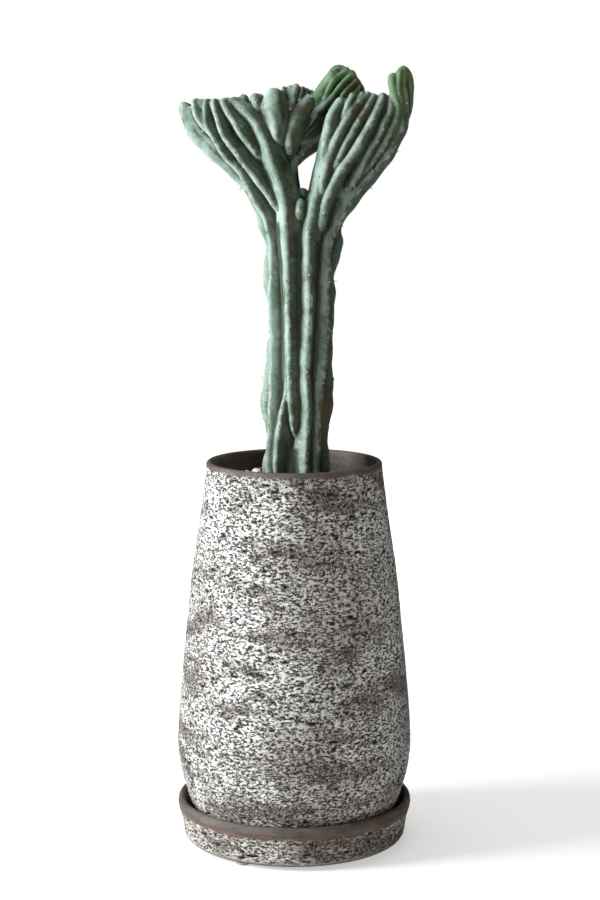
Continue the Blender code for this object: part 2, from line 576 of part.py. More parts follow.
def sweep_rib(rib, step=4.0, sides=16):
    """Corners and faces of one rib, in millimetres, closed at both ends."""
    points, along, tangent, outward = route_frame(rib, step)
    sideways = np.cross(tangent, outward)
    nose = spread(rib.nose, along)
    half_width = spread(rib.half_width, along)
    depth = spread(rib.depth, along)
    lift = rib.wave * np.sin(2 * math.pi * along / rib.pitch + len(rib.name))
    lift -= rib.sink * np.clip(1 - along / (3 * rib.sink + 1), 0, 1) ** 2
    crest = points + outward * lift[:, None]
    outer = crest - outward * nose[:, None]
    inner = crest - outward * depth[:, None]
    middle = 0.5 * (outer + inner)
    to_tip = np.clip((along[-1] - along) / (1.4 * nose[-1]), 0, 1)
    shrink = np.sqrt(np.clip(1 - (1 - to_tip) ** 2, 0.004, 1))
    corners = []
    for i in range(len(crest)):
        for a in np.arange(sides) * 2 * math.pi / sides:
            ray = outward[i] * math.cos(a) + sideways[i] * math.sin(a)
            reach_outer = (outer[i] - inner[i]) @ ray + nose[i]
            near = outer[i] + ray * nose[i] if reach_outer > half_width[i] else (
                inner[i] + ray * half_width[i])
            corners.append(middle[i] + (near - middle[i]) * shrink[i])
    last = (len(crest) - 1) * sides
    faces = [tuple(reversed(range(sides))), tuple(last + k for k in range(sides))]
    for ring in range(0, last, sides):
        for k in range(sides):
            n = (k + 1) % sides
            faces.append((ring + k, ring + n, ring + sides + n, ring + sides + k))
    return np.array(corners), faces


def rounded_column(centre, sections, sides=24):
    """Corners and faces of an upright round body given as (radius, height), in mm."""
    corners = []
    for x, y, radius, height in sections:
        for a in np.arange(sides) * 2 * math.pi / sides:
            corners.append((centre[0] + x + radius * math.cos(a),
                            centre[1] + y + radius * math.sin(a), height))
    last = (len(sections) - 1) * sides
    faces = [tuple(reversed(range(sides))), tuple(last + k for k in range(sides))]
    for ring in range(0, last, sides):
        for k in range(sides):
            n = (k + 1) % sides
            faces.append((ring + k, ring + n, ring + sides + n, ring + sides + k))
    return np.array(corners), faces


def stem_core():
    """Round heart of the stem, from its planted foot up to the fork."""
    soil = SOIL_AT_STEM / MM
    foot = soil - ROOT_DEPTH / MM
    radius = ROOT_RADIUS / MM
    return rounded_column((STEM_X / MM, STEM_Y / MM), [
        (0, 0, radius * 0.55, foot), (0, 0, radius * 0.9, foot + 5), (0, 0, radius, foot + 12),
        (0, 0, radius, soil + 6), (2, 1, 27, 420), (5, 1, 26, 500), (7, 1, 27, 580),
        (6, 1, 29, 620), (4, 1, 26, 650), (2, 0, 12, 668)])


def largest_shell(mesh):
    """Keep the outer skin alone, without any pocket closed in behind the ribs."""
    bm = bmesh.new()
    bm.from_mesh(mesh)
    left = set(bm.verts)
    shells = []
    while left:
        shell = set()
        queue = [left.pop()]
        while queue:
            corner = queue.pop()
            shell.add(corner)
            for edge in corner.link_edges:
                other = edge.other_vert(corner)
                if other in left:
                    left.remove(other)
                    queue.append(other)
        shells.append(shell)
    keep = max(shells, key=len)
    bmesh.ops.delete(bm, geom=[v for v in bm.verts if v not in keep], context="VERTS")
    bm.to_mesh(mesh)
    bm.free()


def make_cactus(finish, parent):
    """The whole plant as one grown piece: stem, both fans, lobe and curled tip."""
    fans = left_fan_ribs() + right_fan_ribs()
    ribs = trunk_ribs() + fans + bridge_ribs() + lobe_ribs() + curl_ribs()
    ribs += rear_ribs(fans) + core_ribs()
    corners = []
    faces = []
    for places, sides in [sweep_rib(rib) for rib in ribs] + [stem_core()]:
        start = len(corners)
        corners.extend((places * MM).tolist())
        faces.extend(tuple(start + k for k in face) for face in sides)
    rough = bpy.data.meshes.new("cactus_ribs")
    rough.from_pydata(corners, [], faces)
    cactus = add_object("cactus", rough, finish, parent)
    fuse = cactus.modifiers.new("fuse", "REMESH")
    fuse.mode = "VOXEL"
    fuse.voxel_size = CACTUS_VOXEL
    bpy.context.view_layer.update()
    skin = bpy.data.meshes.new_from_object(cactus.evaluated_get(bpy.context.evaluated_depsgraph_get()))
    cactus.modifiers.clear()
    largest_shell(skin)
    cactus.data = skin
    thin = cactus.modifiers.new("thin", "DECIMATE")
    skin.calc_loop_triangles()
    thin.ratio = min(1.0, CACTUS_TRIANGLES / len(skin.loop_triangles))
    skin.shade_smooth()
    return cactus


def main():
    """Build every piece under one empty."""
    clear_scene()
    plant = bpy.data.objects.new("potted_cactus", None)
    bpy.context.scene.collection.objects.link(plant)
    clay = material("stoneware", (0.23, 0.20, 0.18), 0.85)
    make_foot_pads(material("pad_rubber", (0.10, 0.09, 0.08), 0.8), plant)
    make_saucer(clay, plant)
    make_pot(clay, plant)
    make_drain_net(material("net_plastic", (0.06, 0.07, 0.07), 0.6), plant)
    make_soil(material("potting_mix", (0.055, 0.04, 0.03), 0.95), plant)
    make_stones(material("white_stone", (0.78, 0.76, 0.71), 0.7), plant)
    make_cactus(material("cactus_skin", (0.22, 0.33, 0.27), 0.55), plant)


main()
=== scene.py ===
"""Looks of a tall crested cactus in its rough stoneware pot, on a deep saucer.

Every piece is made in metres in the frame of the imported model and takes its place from
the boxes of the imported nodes. Lengths with MM are millimetres of the drawn piece, which
is fitted to its node's box afterwards.
"""
import logging
import math
import random
from dataclasses import dataclass, replace
from enum import Enum
from typing import Any, Callable, Iterable, Sequence

import bmesh
import bpy
import numpy as np
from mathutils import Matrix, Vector, kdtree, noise
from mathutils.bvhtree import BVHTree


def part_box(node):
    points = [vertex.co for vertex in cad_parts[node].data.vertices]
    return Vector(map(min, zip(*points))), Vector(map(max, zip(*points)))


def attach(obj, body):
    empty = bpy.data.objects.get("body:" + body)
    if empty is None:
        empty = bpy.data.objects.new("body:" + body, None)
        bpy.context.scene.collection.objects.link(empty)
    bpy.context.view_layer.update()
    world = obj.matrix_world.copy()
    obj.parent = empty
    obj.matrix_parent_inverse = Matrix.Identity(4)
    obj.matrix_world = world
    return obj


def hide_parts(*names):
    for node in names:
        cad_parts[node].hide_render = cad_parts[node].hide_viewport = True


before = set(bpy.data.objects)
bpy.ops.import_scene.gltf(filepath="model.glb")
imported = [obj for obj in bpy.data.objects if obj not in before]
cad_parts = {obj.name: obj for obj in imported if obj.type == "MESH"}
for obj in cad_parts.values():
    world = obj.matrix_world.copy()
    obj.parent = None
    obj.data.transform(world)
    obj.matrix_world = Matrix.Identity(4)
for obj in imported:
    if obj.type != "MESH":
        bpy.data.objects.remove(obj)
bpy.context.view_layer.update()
BODY = "root"
MM = 0.001
SPINE_RADIUS = 0.32 * MM

Colour = tuple[float, float, float]
Point = tuple[float, float, float]
Outline = list[tuple[float, float]]
Solid = tuple[np.ndarray, list[tuple[int, ...]]]   # corners and faces
LOG = logging.getLogger("potted_cactus")


# ---- nodes of a finish --------------------------------------------------------
class Paintbox:
    """Nodes of one material, added and wired with short calls."""

    def __init__(self, name: str) -> None:
        """Start a material with its Principled shader and object coordinates."""
        self.material = bpy.data.materials.new(name)
        self.material.use_nodes = True
        self.tree = self.material.node_tree
        self.shader = self.tree.nodes["Principled BSDF"]
        self.place = self.add("TexCoord").outputs["Object"]

    def add(self, kind: str, inputs: dict[Any, Any] | None = None, **settings: Any) -> bpy.types.Node:
        """Add one node.

        Args:
            kind: the shader node's type, without its "ShaderNode" prefix.
            inputs: socket name or number to a value or to another node's output.
            **settings: properties of the node itself.

        Returns:
            The new node.
        """
        node = self.tree.nodes.new("ShaderNode" + kind)
        for name, value in settings.items():
            setattr(node, name, value)
        for name, value in (inputs or {}).items():
            self.feed(node.inputs[name], value)
        return node

    def feed(self, socket: bpy.types.NodeSocket, value: Any) -> None:
        """Wire an output into a socket, or set the socket's value."""
        if isinstance(value, bpy.types.NodeSocket):
            self.tree.links.new(value, socket)
        elif isinstance(value, tuple) and len(value) == 3 and socket.type == "RGBA":
            socket.default_value = (*value, 1.0)
        else:
            socket.default_value = value

    def stretched(self, stretch: Point) -> bpy.types.NodeSocket:
        """Return the object coordinates multiplied axis by axis."""
        return self.add("VectorMath", {0: self.place, 1: stretch}, operation="MULTIPLY").outputs[0]

    def noise(self, scale: float, detail: float = 2.0, rough: float = 0.5, warp: float = 0.0,
              stretch: Point = (1.0, 1.0, 1.0)) -> bpy.types.NodeSocket:
        """Add fractal noise.

        Args:
            scale: features per metre.
            detail: number of octaves.
            rough: strength of the finer octaves.
            warp: how far the pattern is distorted by itself.
            stretch: multiplier of the coordinates along each axis.

        Returns:
            The noise value, around 0.5.
        """
        return self.add("TexNoise", {"Vector": self.stretched(stretch), "Scale": scale, "Detail": detail,
                                     "Roughness": rough, "Distortion": warp}).outputs[0]

    def cells(self, scale: float) -> bpy.types.NodeSocket:
        """Return the distance to the middles of round cells, given how many lie in a metre."""
        return self.add("TexVoronoi", {"Vector": self.place, "Scale": scale}).outputs["Distance"]

    def levels(self, value: bpy.types.NodeSocket, low: float, high: float,
               start: float = 0.0, end: float = 1.0) -> bpy.types.NodeSocket:
        """Map low..high of a value smoothly onto start..end, clamped."""
        return self.add("MapRange", {"Value": value, "From Min": low, "From Max": high,
                                     "To Min": start, "To Max": end},
                        interpolation_type="SMOOTHSTEP").outputs[0]

    def calc(self, operation: str, a: Any, b: Any = 0.0) -> bpy.types.NodeSocket:
        """Return a sum, product or other calculation of two values."""
        return self.add("Math", {0: a, 1: b}, operation=operation).outputs[0]

    def blend(self, factor: Any, a: Any, b: Any, mode: str = "MIX") -> bpy.types.NodeSocket:
        """Return colour a turned into colour b by the factor."""
        return self.add("Mix", {0: factor, 6: a, 7: b}, data_type="RGBA", blend_type=mode).outputs[2]

    def scale_by(self, colour: Any, value: bpy.types.NodeSocket) -> bpy.types.NodeSocket:
        """Return a colour made lighter or darker by a value."""
        grey = self.add("CombineColor", {0: value, 1: value, 2: value}).outputs[0]
        return self.blend(1.0, colour, grey, "MULTIPLY")

    def mark(self, name: str) -> bpy.types.NodeSocket:
        """Return a value that is stored on the mesh."""
        return self.add("Attribute", attribute_name=name).outputs["Fac"]

    def bump(self, height: bpy.types.NodeSocket, distance: float, strength: float = 1.0,
             under: bpy.types.NodeSocket | None = None) -> bpy.types.NodeSocket:
        """Add relief.

        Args:
            height: the relief's height, from 0 to 1.
            distance: the height that 1 stands for, in metres.
            strength: share of the relief that shows.
            under: a coarser relief on which this one lies.

        Returns:
            The bent surface normal.
        """
        inputs = {"Height": height, "Distance": distance, "Strength": strength}
        if under is not None:
            inputs["Normal"] = under
        return self.add("Bump", inputs).outputs[0]

    def finish(self, colour: Any, roughness: Any, normal: bpy.types.NodeSocket | None = None,
               **constants: float) -> bpy.types.Material:
        """Wire the shader up.

        Args:
            colour: base colour, as a value or an output.
            roughness: roughness, as a value or an output.
            normal: relief, if there is any.
            **constants: other sockets of the shader, with _ for a space in their names.

        Returns:
            The finished material.
        """
        self.feed(self.shader.inputs["Base Color"], colour)
        self.feed(self.shader.inputs["Roughness"], roughness)
        if normal is not None:
            self.feed(self.shader.inputs["Normal"], normal)
        for name, value in constants.items():
            label = name.replace("_", " ").title().replace("Ior", "IOR")
            self.shader.inputs[label].default_value = value
        return self.material


@dataclass(frozen=True)
class StonewareFinish:
    """Unglazed clay with a rough grey and white crust, for the pot and its saucer."""

    name: str
    clay: Colour = (0.072, 0.058, 0.049)
    rust: Colour = (0.175, 0.085, 0.048)
    white: Colour = (0.860, 0.860, 0.850)
    grey: Colour = (0.540, 0.525, 0.505)
    brown: Colour = (0.090, 0.062, 0.046)
    # near black: dark specks, and painted shade in the pits
    specks_and_pit_shade: Colour = (0.012, 0.010, 0.009)
    gap: Colour = (0.046, 0.038, 0.033)     # clay between the grains of crust
    dry: Colour = (0.130, 0.109, 0.094)     # paler streaks of the bare clay
    rubbed: Colour = (0.42, 0.39, 0.35)
    grains: float = 250.0       # grains of crust per metre

    def build(self) -> bpy.types.Material:
        """Return the material: crust, grains and pits over bare clay, with painted shade in the pits."""
        box = Paintbox(self.name)
        crust = box.mark("crust")
        pit = box.mark("pit")
        patches = box.noise(14, 3, 0.6)
        streaks = box.noise(11, 5, 0.66, stretch=(1, 1, 3.0))
        worm = box.noise(self.grains, 3, 0.66, 0.35, (1, 1, 2.0))
        grit = box.noise(self.grains * 2.3, 2, 0.6)
        holes = box.noise(130, 3, 0.6, 0.3, (1, 1, 3.0))
        raised = box.levels(worm, 0.44, 0.53)
        small_pit = box.levels(holes, 0.37, 0.30)
        tone = box.blend(box.levels(patches, 0.38, 0.62), self.white, self.grey)
        tone = box.blend(box.levels(streaks, 0.48, 0.62, 0.0, 0.78), tone, self.brown)
        colour = box.blend(raised, self.gap, tone)
        colour = box.blend(box.levels(grit, 0.56, 0.66, 0.0, 0.6), colour, self.white)
        colour = box.blend(box.levels(grit, 0.42, 0.33, 0.0, 0.7), colour, self.specks_and_pit_shade)
        # painted shade: near black in the small holes and in the pits
        colour = box.blend(small_pit, colour, self.specks_and_pit_shade)
        colour = box.blend(pit, colour, self.specks_and_pit_shade)
        bare = box.blend(box.levels(box.noise(30, 4, 0.6, stretch=(1, 1, 4)), 0.35, 0.7),
                         self.clay, self.dry)
        rusty = box.calc("MULTIPLY", box.mark("rust"), box.levels(patches, 0.3, 0.6, 0.4, 1.0))
        bare = box.blend(rusty, bare, self.rust)
        bare = box.blend(box.levels(grit, 0.62, 0.74, 0.0, 0.22), bare, self.grey)
        bare = box.blend(box.levels(grit, 0.36, 0.28, 0.0, 0.6), bare, self.specks_and_pit_shade)
        colour = box.blend(crust, bare, colour)
        colour = box.blend(box.mark("worn"), colour, self.rubbed)
        height = box.calc("MULTIPLY", box.calc("SUBTRACT", raised, small_pit), crust)
        relief = box.bump(height, 0.9 * MM, 1.0)
        relief = box.bump(grit, 0.25 * MM, 0.8, relief)
        roughness = box.levels(crust, 0.0, 1.0, 0.62, 0.95)
        return box.finish(colour, roughness, relief, specular_ior_level=0.3)


@dataclass(frozen=True)
class SkinFinish:
    """Waxy blue-green plant skin with a pale bloom, corky scars and green young growth, with painted
    shade on its +X side and in its creases and a painted highlight along its crests.
    """

    name: str = "cactus_skin"
    bloom: Colour = (0.335, 0.455, 0.410)
    flesh: Colour = (0.080, 0.140, 0.095)
    # near black, laid as painted shade on the +X side and in the creases
    deep: Colour = (0.012, 0.022, 0.010)
    cork: Colour = (0.070, 0.052, 0.028)
    young: Colour = (0.085, 0.230, 0.100)
    lime: Colour = (0.130, 0.200, 0.055)
    fleck: Colour = (0.42, 0.50, 0.47)
    moss: Colour = (0.055, 0.100, 0.035)
    # pale colour of the painted highlight along the crests
    ridge: Colour = (0.36, 0.43, 0.37)
    # dark green of the painted shade in the creases of the young growth
    young_fold_shade: Colour = (0.012, 0.040, 0.010)  # of the young growth

    def build(self) -> bpy.types.Material:
        """Return the material, driven by the marks that the mesh carries."""
        box = Paintbox(self.name)
        crest = box.mark("crest")
        valley = box.mark("valley")
        sunny = box.mark("sunny")
        youth = box.mark("youth")
        clouds = box.noise(30, 5, 0.66)
        smears = box.noise(60, 4, 0.65, 0.6, (1.0, 1.0, 0.35))
        flecks = box.noise(420, 3, 0.6)
        scurf = box.noise(34, 5, 0.7, 0.8)
        bloom_and_lit_side = box.calc("MULTIPLY", box.levels(clouds, 0.36, 0.62, 0.30, 1.0),
                          box.levels(smears, 0.34, 0.60, 0.40, 1.0))
        # painted light: more bloom where the skin faces -X and up, less where it faces +X
        bloom_and_lit_side = box.calc("MULTIPLY", bloom_and_lit_side, box.levels(sunny, 0.0, 1.0, 0.10, 1.0))
        colour = box.blend(bloom_and_lit_side, self.flesh, self.bloom)
        colour = box.blend(box.levels(flecks, 0.52, 0.68, 0.0, 0.35), colour, self.fleck)
        # painted shade: 1 on the +X side, away from the light
        painted_shade_side = box.calc("SUBTRACT", 1.0, sunny)
        # painted shade: cork brown laid mostly on the +X side
        brown = box.calc("MULTIPLY", box.levels(scurf, 0.46, 0.62),
                         box.levels(painted_shade_side, 0.2, 0.9, 0.12, 0.9))
        colour = box.blend(brown, colour, self.cork)
        green = box.calc("MULTIPLY", box.levels(box.noise(48, 3, 0.6), 0.56, 0.68), 0.55)
        colour = box.blend(green, colour, self.moss)
        # painted shade: near black laid on the +X side
        colour = box.blend(box.levels(painted_shade_side, 0.45, 1.0, 0.0, 0.40), colour, self.deep)
        # painted shade: near black laid in the creases between the ribs
        colour = box.blend(box.levels(valley, 0.0, 1.0, 0.0, 0.93), colour, self.deep)
        # painted highlight: pale patches along the crests
        highlight_patches = box.levels(box.noise(150, 3, 0.6), 0.44, 0.60, 0.0, 0.75)
        colour = box.blend(box.calc("MULTIPLY", crest, highlight_patches), colour, self.ridge)
        colour = box.blend(box.calc("MULTIPLY", youth, 0.9), colour,
                           box.blend(box.mark("lime"), self.young, self.lime))
        # painted shade: dark green laid in the creases of the young growth
        young_crease_shade = box.calc("MULTIPLY", youth, box.levels(valley, 0.0, 0.8, 0.0, 0.9))
        colour = box.blend(young_crease_shade, colour, self.young_fold_shade)
        colour = box.blend(box.levels(box.noise(700, 2, 0.6), 0.64, 0.72, 0.0, 0.45), colour, self.cork)
        colour = box.blend(box.mark("scar"), colour, self.cork)
        relief = box.bump(smears, 0.9 * MM, 0.55)
        relief = box.bump(flecks, 0.22 * MM, 0.6, relief)
        roughness = box.levels(bloom_and_lit_side, 0.0, 1.0, 0.42, 0.78)
        return box.finish(colour, roughness, relief, specular_ior_level=0.4)


@dataclass(frozen=True)
class SpeckledFinish:
    """A matt mineral, woody or woolly finish: two tones, specks and a grain."""

    name: str
    light: Colour
    dark: Colour
    speck: Colour
    scale: float                # patches per metre
    grain: float                # grains per metre
    relief: float               # depth of the grain in metres
    roughness: float = 0.85

    def build(self) -> bpy.types.Material:
        """Return the material."""
        box = Paintbox(self.name)
        patches = box.noise(self.scale, 4, 0.6)
        grain = box.noise(self.grain, 3, 0.6)
        colour = box.blend(box.levels(patches, 0.36, 0.64), self.dark, self.light)
        colour = box.blend(box.levels(grain, 0.60, 0.70, 0.0, 0.7), colour, self.speck)
        edge = box.add("NewGeometry").outputs["Pointiness"]
        colour = box.blend(box.levels(edge, 0.50, 0.60, 0.0, 0.5), colour, self.light)
        relief = box.bump(grain, self.relief, 0.8)
        roughness = box.levels(grain, 0.3, 0.7, self.roughness - 0.1, self.roughness)
        return box.finish(colour, roughness, relief, specular_ior_level=0.35)


@dataclass(frozen=True)
class MouldedFinish:
    """Moulded rubber or plastic with a fine pebble grain, scuffs and dusty corners."""

    name: str
    colour: Colour
    dust: Colour
    roughness: float

    def build(self) -> bpy.types.Material:
        """Return the material."""
        box = Paintbox(self.name)
        pebble = box.cells(1400)
        scuffs = box.noise(160, 4, 0.65, stretch=(1, 3, 1))
        colour = box.scale_by(self.colour, box.levels(box.noise(90, 3), 0.3, 0.7, 0.8, 1.2))
        colour = box.blend(box.levels(scuffs, 0.55, 0.72, 0.0, 0.6), colour, self.dust)
        edge = box.add("NewGeometry").outputs["Pointiness"]
        colour = box.blend(box.levels(edge, 0.51, 0.60, 0.0, 0.5), colour, self.dust)
        relief = box.bump(pebble, 0.12 * MM, 0.7)
        return box.finish(colour, box.levels(scuffs, 0.4, 0.7, self.roughness, 0.95), relief)


@dataclass(frozen=True)
class PaperFinish:
    """Pale sheet of the studio: white, with a faint fibre, brightening with distance."""

    name: str = "studio_sheet"
    tone: float = 0.82
    glow: float = 0.48          # share of its own light near the object, in the camera's view only
    clear_from: float = 0.55    # distance from the object at which it starts to fade
    clear_to: float = 1.15

    def build(self) -> bpy.types.Material:
        """Return the material."""
        box = Paintbox(self.name)
        fibre = box.noise(220, 3, 0.6)
        tone = box.levels(fibre, 0.3, 0.7, self.tone - 0.01, self.tone + 0.01)
        away = box.add("VectorMath", {0: box.place}, operation="LENGTH").outputs["Value"]
        far = box.levels(away, self.clear_from, self.clear_to)
        box.finish(box.scale_by((1.0, 1.0, 1.0), tone), 0.9)
        box.shader.inputs["Specular IOR Level"].default_value = 0.1
        box.shader.inputs["Emission Color"].default_value = (1.0, 1.0, 1.0, 1.0)
        seen = box.add("LightPath").outputs["Is Camera Ray"]
        box.feed(box.shader.inputs["Emission Strength"],
                 box.calc("MULTIPLY", seen, box.levels(far, 0.0, 1.0, self.glow, 1.0)))
        return box.material


# ---- mesh helpers -------------------------------------------------------------
def smooth_curve(points: Sequence[Sequence[float]], per_span: int) -> np.ndarray:
    """Make a Catmull-Rom curve through every given point.

    Args:
        points: the points to pass through.
        per_span: number of steps between two of them.

    Returns:
        The curve's points, one row each.
    """
    knots = np.asarray(points, float)
    line = np.vstack([2 * knots[0] - knots[1], knots, 2 * knots[-1] - knots[-2]])
    t = np.linspace(0, 1, per_span, endpoint=False)[:, None]
    spans = []
    for a, b, c, d in zip(line, line[1:], line[2:], line[3:]):
        spans.append(0.5 * (2 * b + (c - a) * t + (2 * a - 5 * b + 4 * c - d) * t ** 2
                            + (3 * b - a - 3 * c + d) * t ** 3))
    return np.vstack(spans + [knots[-1:]])


def even_line(points: np.ndarray, step: float) -> np.ndarray:
    """Resample a line at even distances of about one step."""
    length = np.concatenate([[0], np.cumsum(np.linalg.norm(np.diff(points, axis=0), axis=1))])
    along = np.linspace(0, length[-1], max(2, round(length[-1] / step) + 1))
    return np.column_stack([np.interp(along, length, points[:, k]) for k in range(points.shape[1])])


def ease(value: Any, low: float, high: float) -> Any:
    """Rise smoothly from 0 at low to 1 at high."""
    t = np.clip((value - low) / (high - low), 0.0, 1.0)
    return t * t * (3 - 2 * t)


def mesh_from(name: str, corners: np.ndarray, faces: Iterable[Sequence[int]]) -> bpy.types.Mesh:
    """Make a smooth-shaded mesh from corners and faces."""
    mesh = bpy.data.meshes.new(name)
    mesh.from_pydata(np.asarray(corners).tolist(), [], [tuple(face) for face in faces])
    mesh.validate()
    mesh.shade_smooth()
    return mesh


def corners_of(mesh: bpy.types.Mesh) -> np.ndarray:
    """Return a mesh's corners as rows."""
    flat = np.empty(len(mesh.vertices) * 3, dtype=np.float32)
    mesh.vertices.foreach_get("co", flat)
    return flat.reshape(-1, 3).astype(float)


def normals_of(mesh: bpy.types.Mesh) -> np.ndarray:
    """Return the outward directions at a mesh's corners as rows."""
    flat = np.empty(len(mesh.vertices) * 3, dtype=np.float32)
    mesh.vertices.foreach_get("normal", flat)
    return flat.reshape(-1, 3)


def shape_now(thing: bpy.types.Object) -> bpy.types.Mesh:
    """Return a new mesh of an object as its modifiers leave it."""
    bpy.context.view_layer.update()
    return bpy.data.meshes.new_from_object(thing.evaluated_get(bpy.context.evaluated_depsgraph_get()))


def set_corners(mesh: bpy.types.Mesh, corners: np.ndarray) -> None:
    """Write moved corners back into a mesh."""
    mesh.vertices.foreach_set("co", corners.astype(np.float32).ravel())
    mesh.update()


def store(mesh: bpy.types.Mesh, name: str, values: np.ndarray) -> None:
    """Keep one value per corner on the mesh, for its material."""
    mark = mesh.attributes.new(name, "FLOAT", "POINT")
    mark.data.foreach_set("value", np.clip(values, 0.0, 1.0).astype(np.float32))


def rough_noise(places: np.ndarray, scale: float, seed: float = 0.0) -> np.ndarray:
    """Sample smooth noise, about -1 to 1, at places given in metres."""
    shifted = places * scale + seed
    return np.array([noise.noise(Vector(place)) for place in shifted])


def grid_faces(rings: int, steps: int, closed: bool) -> list[tuple[int, int, int, int]]:
    """List the faces of a turned grid.

    Args:
        rings: number of rings of corners.
        steps: number of corners in each ring.
        closed: whether the last ring joins the first.

    Returns:
        Corner numbers of each face, facing outwards for a profile with its material left.
    """
    faces = []
    for ring in range(rings if closed else rings - 1):
        low = ring * steps
        high = (ring + 1) % rings * steps
        for k in range(steps):
            n = (k + 1) % steps
            faces.append((low + k, low + n, high + n, high + k))
    return faces


def joined(name: str, parts: Iterable[tuple[np.ndarray, Sequence[Sequence[int]]]]) -> bpy.types.Mesh:
    """Join many small bodies, each given as corners and faces, into one mesh."""
    corners = []
    faces = []
    start = 0
    for places, sides in parts:
        corners.append(places)
        faces.extend(tuple(start + k for k in side) for side in sides)
        start += len(places)
    return mesh_from(name, np.vstack(corners), faces)


def ball(subdivisions: int) -> Solid:
    """Return corners and faces of a round body of radius 1."""
    bm = bmesh.new()
    bmesh.ops.create_icosphere(bm, subdivisions=subdivisions, radius=1)
    corners = np.array([corner.co[:] for corner in bm.verts])
    faces = [tuple(corner.index for corner in face.verts) for face in bm.faces]
    bm.free()
    return corners, faces


def fit(corners: np.ndarray, low: Sequence[float], high: Sequence[float]) -> np.ndarray:
    """Stretch and shift corners so that they fill a box."""
    least = corners.min(axis=0)
    reach = corners.max(axis=0) - least
    return np.asarray(low) + (corners - least) / reach * (np.asarray(high) - np.asarray(low))


def add_piece(name: str, mesh: bpy.types.Mesh, finish: bpy.types.Material,
              nodes: Sequence[str] = ()) -> bpy.types.Object:
    """Put a piece in the scene.

    Args:
        name: the piece's name.
        mesh: its shape, in the frame's metres.
        finish: its material.
        nodes: CAD nodes that it stands for.

    Returns:
        The new object, which rides on the body.
    """
    piece = bpy.data.objects.new(name, mesh)
    mesh.materials.clear()
    mesh.materials.append(finish)
    bpy.context.scene.collection.objects.link(piece)
    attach(piece, BODY)
    if nodes:
        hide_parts(*nodes)
    LOG.info("%s: %d corners, %d faces", name, len(mesh.vertices), len(mesh.polygons))
    return piece


def dress(node: str, finish: bpy.types.Material) -> None:
    """Give a CAD node that stays in view its material."""
    slots = bpy.data.objects[node].material_slots
    for place in slots:
        place.material = finish
    LOG.info("%s: dressed in %s", node, finish.name)


def nodes_named(start: str) -> list[str]:
    """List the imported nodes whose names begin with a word."""
    return sorted(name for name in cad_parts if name.startswith(start))


